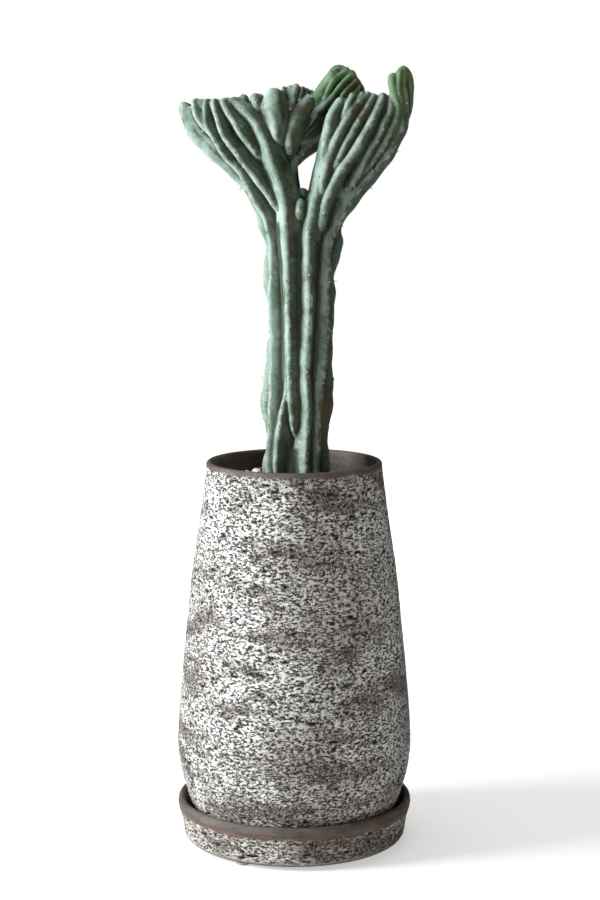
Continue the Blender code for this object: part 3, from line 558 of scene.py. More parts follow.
# ---- pot and saucer -----------------------------------------------------------
@dataclass
class StonewareVessel:
    """A turned clay vessel: one closed wall with a crusted outside.

    Outlines are pairs of radius and height in millimetres of the drawn vessel. The wall
    runs up the outside, over the lip and down the inside.
    """

    node: str
    outside: Outline
    lip: Outline
    inside: Outline
    closed: bool
    crust_from: float           # drawn height at which the crust starts
    crust_to: float             # drawn height at which it ends, below the lip
    steps: int = 288
    row: float = 1.3            # spacing of the rows on the crust, in millimetres
    pits: int = 620
    ridges: tuple[float, ...] = ()  # drawn heights of turning grooves
    rust_at: float = 0.0        # drawn height of a rust-brown line, if there is one
    worn_at: float = 0.0        # drawn height of a rubbed edge, if there is one
    seed: int = 3

    def profile(self) -> tuple[np.ndarray, int]:
        """Return the drawn profile and the number of rows on the outside."""
        outer = even_line(smooth_curve(self.outside, 12), self.row)
        rest = smooth_curve([*self.lip], 3)
        inner = even_line(np.array([self.lip[-1], *self.inside], float), 9.0)[1:]
        return np.vstack([outer, rest[1:], inner]), len(outer)

    def pit_depths(self, angle: np.ndarray, height: np.ndarray, radius: np.ndarray) -> np.ndarray:
        """Work out how deep the pits are.

        Args:
            angle: direction of each corner round the axis.
            height: drawn height of each corner.
            radius: drawn radius of each corner.

        Returns:
            0 on the crust to 1 in the middle of a pit.
        """
        chance = random.Random(self.seed)
        depth = np.zeros_like(angle)
        for _ in range(self.pits):
            middle = chance.uniform(-math.pi, math.pi)
            level = chance.uniform(self.crust_from, self.crust_to)
            length = chance.choice((1.6, 2.2, 3.0, 4.4)) * chance.uniform(0.7, 1.2)
            tall = chance.uniform(1.0, 2.1)
            rise = chance.uniform(-0.05, 0.16)
            across = ((angle - middle + math.pi) % (2 * math.pi) - math.pi) * radius
            up = height - level - across * rise
            near = (np.abs(across) < 2 * length) & (np.abs(up) < 3 * tall)
            shape = np.exp(-((across[near] / length) ** 4) - (up[near] / tall) ** 2)
            depth[near] = np.maximum(depth[near], shape)
        return depth

    def build(self, finish: bpy.types.Material, slot: str) -> bpy.types.Object:
        """Make the vessel.

        Args:
            finish: its material.
            slot: the record's material slot; not used.

        Returns:
            The piece that stands for the vessel's node.
        """
        profile, outer_rows = self.profile()
        rings = len(profile)
        turn = np.arange(self.steps) * 2 * math.pi / self.steps
        angle = np.tile(turn, rings)
        radius = np.repeat(profile[:, 0], self.steps)
        height = np.repeat(profile[:, 1], self.steps)
        outer = np.repeat(np.arange(rings) < outer_rows, self.steps)
        unit = np.column_stack([np.cos(angle), np.sin(angle)])
        places = np.column_stack([unit * radius[:, None], height]) * MM
        ragged = 2.2 * rough_noise(places, 90, 4.0) + 1.2 * rough_noise(places, 260, 9.0)
        crust = ease(height + ragged, self.crust_from - 0.8, self.crust_from + 0.8)
        crust *= 1 - ease(height + ragged, self.crust_to - 1.0, self.crust_to + 1.0)
        crust = np.where(outer, crust, 0.0)
        pit = self.pit_depths(angle, height, radius) * crust
        grains = 0.45 * rough_noise(places, 330, 1.0)
        grains += 0.35 * rough_noise(places * (1, 1, 2.2), 120, 7.0)
        drift = 0.5 * rough_noise(places, 22, 2.0)
        sunk = 0.45 + 1.7 * pit - (grains + drift * 0.6)
        for level in self.ridges:
            sunk += 0.5 * np.exp(-((height - level) / 0.9) ** 2)
        inset = np.where(outer, np.clip(sunk, 0.0, 3.0) * (0.25 + 0.75 * crust), 0.0)
        inset += np.where(outer, 0.0, 0.12 * rough_noise(places, 150, 5.0) + 0.12)
        drawn = np.column_stack([unit * (radius - inset)[:, None], height])
        lowest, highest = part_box(self.node)
        across = (highest[0] - lowest[0]) / (2 * profile[:, 0].max())
        upright = (highest[2] - lowest[2]) / (profile[:, 1].max() - profile[:, 1].min())
        places = drawn * (across, across, upright)
        places[:, 2] += lowest[2] - profile[:, 1].min() * upright
        places[:, 0] += (lowest[0] + highest[0]) / 2
        places[:, 1] += (lowest[1] + highest[1]) / 2
        faces = grid_faces(rings, self.steps, self.closed)
        if not self.closed:
            last = (rings - 1) * self.steps
            faces.append(tuple(range(self.steps))[::-1])
            faces.append(tuple(range(last, last + self.steps)))
        mesh = mesh_from(self.node + "_clay", places, faces)
        store(mesh, "crust", crust)
        # painted shade: the pits' depth, which the material paints near black
        store(mesh, "pit", ease(pit, 0.25, 0.75))
        for name, level, reach, strength in (("rust", self.rust_at, 1.4, 0.75),
                                             ("worn", self.worn_at, 1.0, 0.8)):
            band = strength * np.exp(-((height - level) / reach) ** 2) if level else 0 * height
            store(mesh, name, np.where(outer, band, 0.0))
        return add_piece(self.node + "_clay", mesh, finish, [self.node])


def arc(centre: tuple[float, float], radius: float, start: float, end: float, steps: int) -> Outline:
    """Return points of a circular arc, angles in degrees from the outward direction."""
    angles = np.radians(np.linspace(start, end, steps))
    return [(centre[0] + radius * math.cos(a), centre[1] + radius * math.sin(a)) for a in angles]


def tall_pot() -> StonewareVessel:
    """Return the tapered pot, widest low down, with a smooth band under its lip."""
    wall = 8.0
    middle = [(113.5, 58), (118.8, 78), (121.3, 104), (119.2, 142), (115.6, 185), (110.6, 235),
              (105.2, 285), (97.6, 335), (92.6, 372)]
    outside = [(84, 12.3), (97, 21), (107, 39), *middle, (90.2, 392), (90, 394)]
    inside = [(84, 381), *[(radius - wall, height) for radius, height in middle[:0:-1]],
              (104, 50), (95, 34), (82, 22.3), (13, 22.3), (13, 12.3)]
    return StonewareVessel("pot", outside, arc((87, 394), 3, 0, 180, 9), inside, closed=True,
                           crust_from=0.0, crust_to=391.5, ridges=(62.0, 69.5, 78.0))


def deep_saucer() -> StonewareVessel:
    """Return the deep plate, with a thick smooth lip over a crusted wall."""
    outside = [(108, 3.3), (112.4, 4.6), (115, 8), (116.4, 15), (117.6, 24), (120.2, 33), (121.4, 39.5)]
    lip = [(121.4, 39.5), (120.9, 43.5), (119.4, 45.8), (117.4, 46.5), (115.4, 45.4), (114.3, 42.6)]
    inside = [(112.4, 35), (107, 22), (100, 14.6), (92, 12), (6, 12)]
    return StonewareVessel("saucer", outside, lip, inside, closed=False, crust_from=6.5, crust_to=33.5,
                           steps=360, row=0.9, pits=70, rust_at=36.0, worn_at=7.0, seed=8)


# ---- soil and stones ----------------------------------------------------------
@dataclass
class PottingMix:
    """The potting mix with its crumbly surface, and loose grains on it."""

    steps: int = 220
    ring: float = 0.9           # spacing of the rings of the surface, in millimetres
    grains: int = 900
    socket: float = 26.0        # radius of the hidden middle, in millimetres
    widest: float = 82.2 * MM   # radius of the surface, just inside the pot's wall
    planted: float = 38 * MM    # radius inside which no loose grains lie
    seed: int = 5

    def surface(self) -> Callable[[float, float], float]:
        """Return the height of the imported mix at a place, found by looking down on it."""
        thing = bpy.data.objects["soil"]
        tree = BVHTree.FromObject(thing, bpy.context.evaluated_depsgraph_get())
        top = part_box("soil")[1][2]

        def height(x: float, y: float) -> float:
            """Return the height under a point."""
            hit = tree.ray_cast(Vector((x, y, top + 0.05)), Vector((0, 0, -1)))[0]
            return hit.z if hit is not None else top

        return height

    def build(self, finish: bpy.types.Material, grit: bpy.types.Material) -> None:
        """Make the mix and its loose grains.

        Args:
            finish: material of the mix.
            grit: material of the loose grains.
        """
        height = self.surface()
        lowest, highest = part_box("soil")
        foot = lowest[2]
        reach = min(highest[0], self.widest)
        radii = np.arange(self.socket, reach / MM, self.ring) * MM
        turn = np.arange(self.steps) * 2 * math.pi / self.steps
        rings = [np.column_stack([r * np.cos(turn), r * np.sin(turn)]) for r in radii]
        flat = np.vstack(rings)
        level = np.array([height(x, y) for x, y in flat])
        places = np.column_stack([flat, level])
        crumbs = 0.9 * rough_noise(places, 160, 3.0) + 0.6 * rough_noise(places, 420, 6.0)
        away = np.hypot(flat[:, 0], flat[:, 1])
        places[:, 2] += MM * (crumbs - 0.9) * ease(reach - away, 0.0, 2 * MM)
        wall = [(98.0, 180.0), (100.0, 120.0), (94.0, 42.0), (76.0, foot / MM), (1.0, foot / MM)]
        skirts = [np.column_stack([r * MM * np.cos(turn), r * MM * np.sin(turn),
                                   np.full(self.steps, max(z * MM, foot))]) for r, z in wall]
        rows = np.vstack([places, *skirts])
        faces = [face[::-1] for face in grid_faces(len(rings) + len(wall), self.steps, False)]
        last = len(rows) - self.steps
        faces.append(tuple(range(self.steps)))
        faces.append(tuple(range(last, len(rows)))[::-1])
        add_piece("potting_mix", mesh_from("potting_mix", rows, faces), finish, ["soil"])
        chance = random.Random(self.seed)
        corners, sides = ball(2)
        loose = []
        for _ in range(self.grains):
            away = chance.uniform(self.planted, reach - 3 * MM)
            angle = chance.uniform(0, 2 * math.pi)
            x = away * math.cos(angle)
            y = away * math.sin(angle)
            size = chance.uniform(0.6, 1.7) * MM
            shape = corners * [chance.uniform(0.6, 1.0) for _ in range(3)]
            shape = shape + 0.3 * np.array([[chance.gauss(0, 0.35) for _ in range(3)] for _ in corners])
            loose.append((shape * size + (x, y, height(x, y) - 0.2 * MM), sides))
        add_piece("loose_grains", joined("loose_grains", loose), grit)


@dataclass
class TopDressing:
    """White broken stones, each in the place of its packed stone."""

    flats: int = 9
    seed: int = 21

    def stone(self, low: Sequence[float], high: Sequence[float], chance: random.Random,
              rounded: Solid) -> Solid:
        """Shape one blunt-cornered stone.

        Args:
            low: lowest corner of its box.
            high: highest corner of its box.
            chance: source of its irregularities.
            rounded: corners and faces of the round body that it is cut from.

        Returns:
            Corners and faces of the stone.
        """
        shape = rounded[0].copy()
        for _ in range(self.flats):
            flat = np.array([chance.gauss(0, 1) for _ in range(3)])
            flat /= np.linalg.norm(flat)
            over = np.maximum(0.0, shape @ flat - chance.uniform(0.68, 0.86))
            shape -= 0.93 * over[:, None] * flat
        bumps = rough_noise(shape, 2.4, chance.uniform(0, 50)) * 0.05
        bumps += rough_noise(shape, 7.0, chance.uniform(0, 50)) * 0.02
        shape *= 1 + bumps[:, None]
        return fit(shape, low, high), rounded[1]

    def build(self, finish: bpy.types.Material) -> None:
        """Make the whole layer as one piece."""
        chance = random.Random(self.seed)
        rounded = ball(4)
        nodes = nodes_named("stone_")
        stones = [self.stone(*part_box(node), chance, rounded) for node in nodes]
        add_piece("top_dressing", joined("top_dressing", stones), finish, nodes)


# ---- the cactus ---------------------------------------------------------------
class Age(Enum):
    """How old a rib is, which sets its colour: youth and share of lime green."""

    OLD = (0.0, 0.0)
    YOUNG = (0.85, 0.25)
    TIP = (0.75, 0.85)


@dataclass(frozen=True)
class Rib:
    """One rib: a rounded wedge that is swept along its crest line.

    route is the crest line in millimetres of the drawn plant from the root to the tip. The
    values that are tuples of numbers are spread evenly along it: facing is the direction of
    the crest in degrees from the front towards +X, half_width that of the wedge's inner
    side, nose the crest's radius and depth how far in the wedge reaches.
    """

    name: str
    route: tuple[Point, ...]
    facing: tuple[float, ...] = (0,)
    half_width: tuple[float, ...] = (9, 6)
    nose: tuple[float, ...] = (3.2,)
    depth: tuple[float, ...] = (16, 9)
    sink: float = 10            # how far the root is sunk into its neighbours
    wave: float = 0.5           # height of the swellings where the spine cushions sit
    pitch: float = 30           # distance between two swellings
    age: Age = Age.OLD


@dataclass(frozen=True)
class CrestLine:
    """Points along a rib's crest with the directions there, all in millimetres."""

    crest: np.ndarray
    along: np.ndarray
    tangent: np.ndarray
    outward: np.ndarray
    rib: Rib

    def spread(self, values: Sequence[float]) -> np.ndarray:
        """Spread a few values evenly along the crest."""
        return np.interp(self.along, np.linspace(0, self.along[-1], len(values)), values)


def crest_line(rib: Rib, step: float) -> CrestLine:
    """Work out where a rib's crest runs and which way it points.

    Args:
        rib: the rib.
        step: distance between two points, in millimetres.

    Returns:
        The crest line, with the rib's swellings and its sunken root.
    """
    points = even_line(smooth_curve(rib.route, 10), step)
    along = np.concatenate([[0], np.cumsum(np.linalg.norm(np.diff(points, axis=0), axis=1))])
    tangent = np.gradient(points, axis=0)
    tangent /= np.linalg.norm(tangent, axis=1)[:, None]
    angle = np.radians(np.interp(along, np.linspace(0, along[-1], len(rib.facing)), rib.facing))
    outward = np.column_stack([np.sin(angle), -np.cos(angle), np.zeros_like(angle)])
    outward -= (outward * tangent).sum(1)[:, None] * tangent
    outward /= np.linalg.norm(outward, axis=1)[:, None]
    lift = rib.wave * np.sin(2 * math.pi * along / rib.pitch + len(rib.name))
    lift -= rib.sink * np.clip(1 - along / (3 * rib.sink + 1), 0, 1) ** 2
    return CrestLine(points + outward * lift[:, None], along, tangent, outward, rib)


def sweep(line: CrestLine, sides: int = 24) -> Solid:
    """Sweep a rib's wedge along its crest line.

    Args:
        line: the crest line.
        sides: number of corners round the wedge.

    Returns:
        Corners in millimetres and faces of the closed rib.
    """
    sideways = np.cross(line.tangent, line.outward)
    nose = line.spread(line.rib.nose)
    half_width = line.spread(line.rib.half_width)
    outer = line.crest - line.outward * nose[:, None]
    inner = line.crest - line.outward * line.spread(line.rib.depth)[:, None]
    middle = 0.5 * (outer + inner)
    to_tip = np.clip((line.along[-1] - line.along) / (1.4 * nose[-1]), 0, 1)
    shrink = np.sqrt(np.clip(1 - (1 - to_tip) ** 2, 0.004, 1))
    columns = []
    for a in np.arange(sides) * 2 * math.pi / sides:
        ray = line.outward * math.cos(a) + sideways * math.sin(a)
        reach = ((outer - inner) * ray).sum(1) + nose
        near = np.where((reach > half_width)[:, None], outer + ray * nose[:, None],
                        inner + ray * half_width[:, None])
        columns.append(middle + (near - middle) * shrink[:, None])
    corners = np.stack(columns, axis=1).reshape(-1, 3)
    faces = [face[::-1] for face in grid_faces(len(middle), sides, False)]
    last = (len(middle) - 1) * sides
    faces.append(tuple(range(sides)))
    faces.append(tuple(range(last, last + sides))[::-1])
    return corners, faces


@dataclass
class CrestedCactus:
    """The plant: a ribbed stem that forks into two crested fans, with a young lobe."""

    voxel: float = 1.25 * MM
    triangles: int = 190_000
    line_step: float = 2.5      # millimetres between the points of a crest line
    wrinkles: tuple[Point, ...] = ((0.35, 70, 1.0), (0.16, 210, 5.0))   # depth, per metre, seed
    margin: float = 0.2 * MM    # by which the skin stays inside its node's box at each side
    young_from: float = 735     # drawn height at which young ribs start to turn green
    young_to: float = 775
    areole_pitch: float = 50.0
    areole_seed: int = 17
    probe: float = 6 * MM       # height above a crest from which its skin is looked for
    probe_slack: float = 2.2 * MM
    bare_top: float = 9 * MM    # height below the plant's top that stays free of spines

    def ribs(self) -> list[Rib]:
        """Return every rib that shows, the trunk's first."""
        fans = left_fan_ribs() + right_fan_ribs()
        front = trunk_ribs() + fans + bridge_ribs() + lobe_ribs() + curl_ribs()
        return front + rear_ribs(fans)

    def fused(self, bodies: list[Solid]) -> bpy.types.Mesh:
        """Fuse overlapping bodies into one skin.

        Args:
            bodies: corners and faces of each body, in metres.

        Returns:
            The outer skin alone, thinned to the wanted number of triangles.
        """
        rough = bpy.data.objects.new("rough_ribs", joined("rough_ribs", bodies))
        bpy.context.scene.collection.objects.link(rough)
        fuse = rough.modifiers.new("fuse", "REMESH")
        fuse.mode = "VOXEL"
        fuse.voxel_size = self.voxel
        soften = rough.modifiers.new("soften", "SMOOTH")
        soften.iterations = 1
        soften.factor = 0.5
        skin = shape_now(rough)
        rough.modifiers.clear()
        keep_largest_shell(skin)
        rough.data = skin
        skin.calc_loop_triangles()
        thin = rough.modifiers.new("thin", "DECIMATE")
        thin.ratio = min(1.0, self.triangles / len(skin.loop_triangles))
        thinned = shape_now(rough)
        bpy.data.objects.remove(rough)
        thinned.shade_smooth()
        return thinned

    def mark_skin(self, mesh: bpy.types.Mesh, places: np.ndarray, lines: list[CrestLine]) -> None:
        """Store on the skin what its material needs.

        Args:
            mesh: the skin.
            places: its corners in drawn millimetres.
            lines: the crest lines of the visible ribs.
        """
        count = sum(len(line.crest) for line in lines)
        tree = kdtree.KDTree(count)
        owner = []
        for number, line in enumerate(lines):
            for point in line.crest:
                tree.insert(point, len(owner))
                owner.append(number)
        tree.balance()
        youth = np.array([line.rib.age.value[0] for line in lines])
        lime = np.array([line.rib.age.value[1] for line in lines])
        nearest = [tree.find(place) for place in places]
        away = np.array([found[2] for found in nearest])
        number = np.array([owner[found[1]] for found in nearest])
        normal = normals_of(mesh)
        hollow = hollowness(mesh, places, normal)
        high = ease(places[:, 2], self.young_from, self.young_to)
        # painted highlight along the crests: high where the skin bulges out near a crest line
        store(mesh, "crest", ease(-hollow, 0.15, 0.75) * (1 - ease(away, 2.0, 4.5)))
        # painted shade for the creases: high where the skin lies below its surroundings or far from any
        # crest
        store(mesh, "valley", np.maximum(ease(hollow, 0.05, 0.60), 0.85 * ease(away, 6.5, 11.0)))
        store(mesh, "youth", youth[number] * high)
        store(mesh, "lime", lime[number])
        # painted light and shade: lighter where the skin faces -X and up, darker where it faces +X
        store(mesh, "sunny", ease(-normal[:, 0] + 0.25 * normal[:, 2], -0.55, 0.45))
        scars = rough_noise(places * MM, 34, 11.0) + 0.5 * rough_noise(places * MM, 90, 2.0)
        low_right = ease(places[:, 0], 10, 30) * (1 - ease(places[:, 2], 430, 560))
        few = ease(scars, 0.42, 0.62) * 0.6
        many = 0.75 * low_right * ease(scars, -0.3, 0.25)
        store(mesh, "scar", few + many)

    def areoles(self, skin: bpy.types.Object, lines: list[CrestLine],
                to_frame: Callable[[np.ndarray], np.ndarray],
                wool: bpy.types.Material, thorn: bpy.types.Material) -> None:
        """Set spine cushions with a few short spines along the crests.

        Args:
            skin: the plant's finished piece.
            lines: the crest lines of the visible ribs.
            to_frame: turns drawn millimetres into the frame's metres.
            wool: material of the cushions.
            thorn: material of the spines.
        """
        tree = BVHTree.FromObject(skin, bpy.context.evaluated_depsgraph_get())
        chance = random.Random(self.areole_seed)
        cushions = []
        spines = []
        round_body = ball(3)
        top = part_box("cactus")[1][2]
        for line in lines:
            stops = np.arange(chance.uniform(8, 20), line.along[-1] - 3, self.areole_pitch)
            for stop in stops + [chance.uniform(-5, 5) for _ in stops]:
                at = min(len(line.along) - 1, int(np.searchsorted(line.along, stop)))
                crest = to_frame(line.crest[at:at + 1])[0]
                outward = Vector(line.outward[at])
                hit, normal, _, gap = tree.ray_cast(Vector(crest) + outward * self.probe, -outward)
                if hit is None or abs(gap - self.probe) > self.probe_slack:
                    continue
                if normal.dot(outward) < 0.5 or hit.z > top - self.bare_top:
                    continue
                young = line.rib.age is not Age.OLD
                cushions.append(wool_cushion(hit, normal, round_body, chance, 0.7 if young else 1.0))
                for _ in range(0 if young else chance.choice((0, 0, 0, 1, 2))):
                    spines.append(spine(hit, normal, chance))
        add_piece("spine_cushions", joined("spine_cushions", cushions), wool)
        add_piece("spines", joined("spines", spines), thorn)

    def build(self, finish: bpy.types.Material, wool: bpy.types.Material,
              thorn: bpy.types.Material) -> None:
        """Grow the plant.

        Args:
            finish: material of the skin.
            wool: material of the spine cushions.
            thorn: material of the spines.
        """
        lines = [crest_line(rib, self.line_step) for rib in self.ribs()]
        hidden = [crest_line(rib, self.line_step) for rib in core_ribs()]
        bodies = [sweep(line) for line in lines + hidden] + [stem_core()]
        skin = self.fused([(corners * MM, faces) for corners, faces in bodies])
        corners = corners_of(skin)
        wrinkles = sum(depth * rough_noise(corners, per_metre, seed)
                       for depth, per_metre, seed in self.wrinkles)
        drawn = corners + normals_of(skin) * wrinkles[:, None] * MM
        low, high = (np.array(corner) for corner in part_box("cactus"))
        low[:2] += self.margin
        high[:2] -= self.margin
        set_corners(skin, fit(drawn, low, high))
        self.mark_skin(skin, corners / MM, lines)
        least = drawn.min(axis=0)
        ratio = (high - low) / (drawn.max(axis=0) - least)

        def to_frame(points: np.ndarray) -> np.ndarray:
            """Return drawn millimetres as the frame's metres."""
            return low + (points * MM - least) * ratio

        piece = add_piece("cactus_skin", skin, finish, ["cactus"])
        self.areoles(piece, lines, to_frame, wool, thorn)


def hollowness(mesh: bpy.types.Mesh, places: np.ndarray, normal: np.ndarray,
               rounds: int = 14) -> np.ndarray:
    """Measure how far the skin lies below its surroundings.

    Args:
        mesh: the skin, for its edges.
        places: its corners in millimetres.
        normal: its outward directions.
        rounds: how often the surroundings are averaged.

    Returns:
        Millimetres, positive in a hollow and negative on a crest.
    """
    edges = np.empty(len(mesh.edges) * 2, dtype=np.int32)
    mesh.edges.foreach_get("vertices", edges)
    start, end = edges.reshape(-1, 2).T
    count = len(places)
    share = np.bincount(start, minlength=count) + np.bincount(end, minlength=count)
    smooth = places.copy()
    for _ in range(rounds):
        for axis in range(3):
            total = np.bincount(start, weights=smooth[end, axis], minlength=count)
            total += np.bincount(end, weights=smooth[start, axis], minlength=count)
            smooth[:, axis] = 0.4 * smooth[:, axis] + 0.6 * total / np.maximum(share, 1)
    return ((smooth - places) * normal).sum(axis=1)


def keep_largest_shell(mesh: bpy.types.Mesh) -> None:
    """Remove every loose shell of a mesh but its largest."""
    bm = bmesh.new()
    bm.from_mesh(mesh)
    left = set(bm.verts)
    shells = []
    while left:
        shell = set()
        queue = [left.pop()]
        while queue:
            corner = queue.pop()
            shell.add(corner)
            for edge in corner.link_edges:
                other = edge.other_vert(corner)
                if other in left:
                    left.remove(other)
                    queue.append(other)
        shells.append(shell)
    keep = max(shells, key=len)
    bmesh.ops.delete(bm, geom=[corner for corner in bm.verts if corner not in keep], context="VERTS")
    bm.to_mesh(mesh)
    bm.free()


def wool_cushion(place: Vector, normal: Vector, round_body: Solid,
                 chance: random.Random, size: float) -> Solid:
    """Shape one lumpy cushion of wool.

    Args:
        place: its middle on the skin.
        normal: the skin's outward direction there.
        round_body: corners and faces of the round body that it is made from.
        chance: source of its irregularities.
        size: its size, where 1 is that of an old cushion.

    Returns:
        Corners and faces of the cushion.
    """
    turn = np.array(normal.to_track_quat("Z", "Y").to_matrix())
    shape = round_body[0] * (1 + 0.35 * rough_noise(round_body[0], 2.6, chance.uniform(0, 90)))[:, None]
    shape = shape * np.array([0.9, 1.25, 0.5]) * size * chance.uniform(0.8, 1.3) * MM
    return shape @ turn.T + np.array(place), round_body[1]


def spine(place: Vector, normal: Vector, chance: random.Random) -> Solid:
    """Shape one slightly bent spine.

    Args:
        place: its foot on the skin.
        normal: the skin's outward direction there.
        chance: source of its direction and length.

    Returns:
        Corners and faces of the spine.
    """
    lean = Vector([chance.gauss(0, 0.55) for _ in range(3)])
    way = (normal + lean).normalized()
    length = chance.uniform(2.5, 6.5) * MM
    sag = Vector((0, 0, -0.12 * length))
    rings = (0.0, 0.35, 0.7, 1.0)
    sides = 6
    turn = np.array(way.to_track_quat("Z", "Y").to_matrix())
    corners = []
    for share in rings:
        middle = np.array(place + way * length * share + sag * share * share)
        radius = SPINE_RADIUS * (1 - 0.85 * share)
        for a in np.arange(sides) * math.pi / 3:
            corners.append(middle + turn @ np.array([radius * math.cos(a), radius * math.sin(a), 0]))
    last = (len(rings) - 1) * sides
    faces = [*grid_faces(len(rings), sides, False), tuple(range(sides))[::-1],
             tuple(range(last, last + sides))]
    return np.array(corners), faces


def trunk_ribs() -> list[Rib]:
    """Return the ribs that start at the soil; the front ones run on into the crest."""
    stem: dict[str, Any] = dict(half_width=(10, 10, 10, 8), depth=(17, 17, 15, 11), sink=0, wave=0.7)
    return [
        Rib("left_edge", ((-31, 8, 371), (-33, 8, 390), (-28, 8, 420), (-35, 8, 452), (-31, 8, 486),
            (-28, 8, 512), (-24, 8, 538), (-32, 8, 584), (-29, 6, 612), (-37, 4, 638), (-44, 2, 660),
            (-60, 0, 681), (-78, -2, 697), (-102, -3, 720), (-113, -3, 742), (-114, -2, 757),
            (-110, -1, 763)), (-102, -96, -86, -72), (11, 11, 14, 14, 9), (3.4, 3.6, 4.8, 6.5),
            (17, 17, 22, 18, 12), 0),
        Rib("left_front", ((-27, -13, 371), (-29, -13, 400), (-27, -14, 432), (-26, -14, 470),
            (-25, -13, 520), (-26, -13, 560), (-25, -15, 610), (-31, -17, 642), (-44, -19, 665),
            (-55, -21, 688), (-69, -21, 702), (-83, -19, 724), (-91, -16, 742), (-89, -14, 763)),
            (-62, -62, -62, -50, -42, -38), (10, 10, 10, 9, 7, 4.5), (3.4, 3.4, 3.4, 3.0),
            (18, 17, 14, 9), 0),
        Rib("low_front", ((-17, -29, 371), (-19, -29, 386), (-19, -29, 408), (-16, -31, 434),
            (-11, -33, 462), (-8, -33, 478)), (-30, -24), (10, 10, 8, 3), (3.2, 3.2, 2.0), (16, 14, 8),
            0),
        Rib("front", ((-1, -32, 420), (-3, -35, 446), (-5, -35, 470), (-6, -35, 520), (-7, -35, 560),
            (-9, -35, 620), (-11, -36, 660), (-22, -36, 695), (-33, -31, 726), (-46, -24, 745),
            (-60, -17, 756), (-68, -14, 761)), (-16, -20, -22, -18, -16), (5, 11, 11, 14, 12, 6),
            (2.2, 3.6, 6.0, 4.6), (8, 17, 18, 16, 10), 9),
        Rib("right_front", ((12, -35, 371), (13, -35, 417), (15, -36, 452), (13, -36, 490),
            (15, -36, 530), (16, -36, 560), (14, -36, 625), (17, -36, 648), (21, -36, 668),
            (25, -36, 686), (28, -36, 706), (31, -35, 729), (36, -31, 748), (48, -24, 766)),
            (12, 16, 12, -20, -34), (10, 11, 11, 12, 13, 6), (3.6, 3.6, 4.4, 5.8, 5.0),
            (17, 17, 18, 15, 10), 0),
        Rib("right_second", ((24, -27, 371), (26, -27, 420), (27, -27, 455), (33, -23, 500),
            (35, -22, 540), (36, -21, 590), (38, -20, 619), (46, -17, 636), (57, -14, 658),
            (79, -13, 690), (95, -11, 713), (107, -8, 737), (113, -8, 749)), (38, 50, 52, 55, 62),
            (8, 9, 10, 9, 7), (3.4, 3.6, 4.0), (16, 17, 17, 12), 0),
        Rib("right_edge", ((35, 0, 371), (37, 0, 402), (34, 0, 420), (40, 0, 456), (39, 2, 500),
            (40, 2, 535), (42, 2, 566), (41, 2, 585), (46, 2, 603), (50, 2, 619), (48, 2, 634),
            (66, 2, 660), (92, 2, 692), (107, 1, 716), (116, 0, 745), (119, 0, 757)), (86, 88, 90, 90),
            (11, 11, 12, 14, 12), (3.6, 3.8, 4.4), (17, 17, 22, 20), 0),
        Rib("back_right", ((29, 22, 371), (30, 23, 450), (35, 23, 560), (42, 22, 625), (60, 20, 668),
            (86, 17, 712), (102, 13, 745), (104, 8, 762)), (128, 135, 150), **stem),
        Rib("back_middle", ((8, 33, 371), (10, 34, 450), (15, 35, 560), (20, 33, 630), (36, 30, 680),
            (48, 28, 728), (56, 20, 762)), (168, 172, 178), **stem),
        Rib("back_left", ((-16, 28, 371), (-14, 29, 450), (-10, 31, 560), (-14, 31, 630),
            (-30, 28, 680), (-54, 22, 724), (-76, 12, 760)), (-150, -158, -170), **stem),
    ]


def left_fan_ribs() -> list[Rib]:
    """Return the shorter ribs of the left fan, which start between the long ones."""
    small: dict[str, Any] = dict(nose=(3.2, 3.4), wave=0.3)
    finger: dict[str, Any] = dict(depth=(9, 8), sink=5, wave=0.2)
    return [
        Rib("left_a", ((-80, -17, 716), (-92, -17, 732), (-100, -15, 746), (-103, -10, 763)), (-50,),
            (6, 6, 4.5), depth=(10, 8), **small),
        Rib("left_b", ((-90, -16, 742), (-94, -14, 753), (-95, -11, 763)), (-35,), (3.2, 3.0), (3.4,),
            (8, 7), 6, 0.2),
        Rib("left_c", ((-19, -29, 645), (-27, -29, 664), (-38, -29, 680), (-56, -28, 704),
            (-71, -25, 724), (-79, -20, 745), (-83, -14, 763)), (-38, -32), (8, 8, 6, 4.5), (3.8, 3.2),
            (16, 14, 9)),
        Rib("left_d", ((-34, -28, 696), (-44, -29, 712), (-56, -27, 730), (-67, -21, 748),
            (-75, -14, 763)), (-32, -28), (6, 8, 6), (3.5, 3.6), (14, 12, 9)),
        Rib("finger_1", ((-46, -10, 744), (-50, -11, 755), (-53, -8, 768)), (-10,), (5.5, 5), (4.2,),
            **finger),
        Rib("finger_2", ((-34, -18, 738), (-37, -19, 752), (-41, -14, 769)), (-8,), (5, 6.5),
            (4.4, 5.2), **finger),
        Rib("finger_3", ((-31, -14, 738), (-32, -15, 754), (-34, -11, 768)), (0,), (3.2,), (3.0,),
            **finger),
        Rib("wide_middle", ((-17, -32, 714), (-20, -33, 732), (-23, -31, 750), (-24, -27, 764),
            (-25, -20, 775)), (-20,), (6, 12, 14, 9), (4.0, 6.0, 7.5, 6.0), (12, 14, 10), 6),
        Rib("finger_4", ((-7, -19, 742), (-9, -20, 760), (-11, -14, 776)), (-4,), (2.6,), (2.2,),
            **finger),
        Rib("finger_5", ((-3, -19, 744), (-4, -20, 762), (-5, -14, 777)), (-4,), (2.6,), (2.2,),
            **finger),
        Rib("finger_6", ((-7, -22, 742), (-3, -23, 755), (0, -20, 767), (3, -14, 779)), (-2,), (4, 4),
            (2.8, 3.8), **finger),
        Rib("finger_7", ((-1, -19, 746), (5, -18, 761), (10, -11, 776)), (0,), (2.6,), (2.2,),
            **finger),
        Rib("finger_8", ((3, -17, 748), (9, -15, 761), (15, -8, 774)), (6,), (2.6,), (2.2,), **finger),
        Rib("finger_9", ((7, -14, 750), (14, -11, 762), (20, -4, 772)), (12,), (2.6,), (2.2,),
            **finger),
    ]


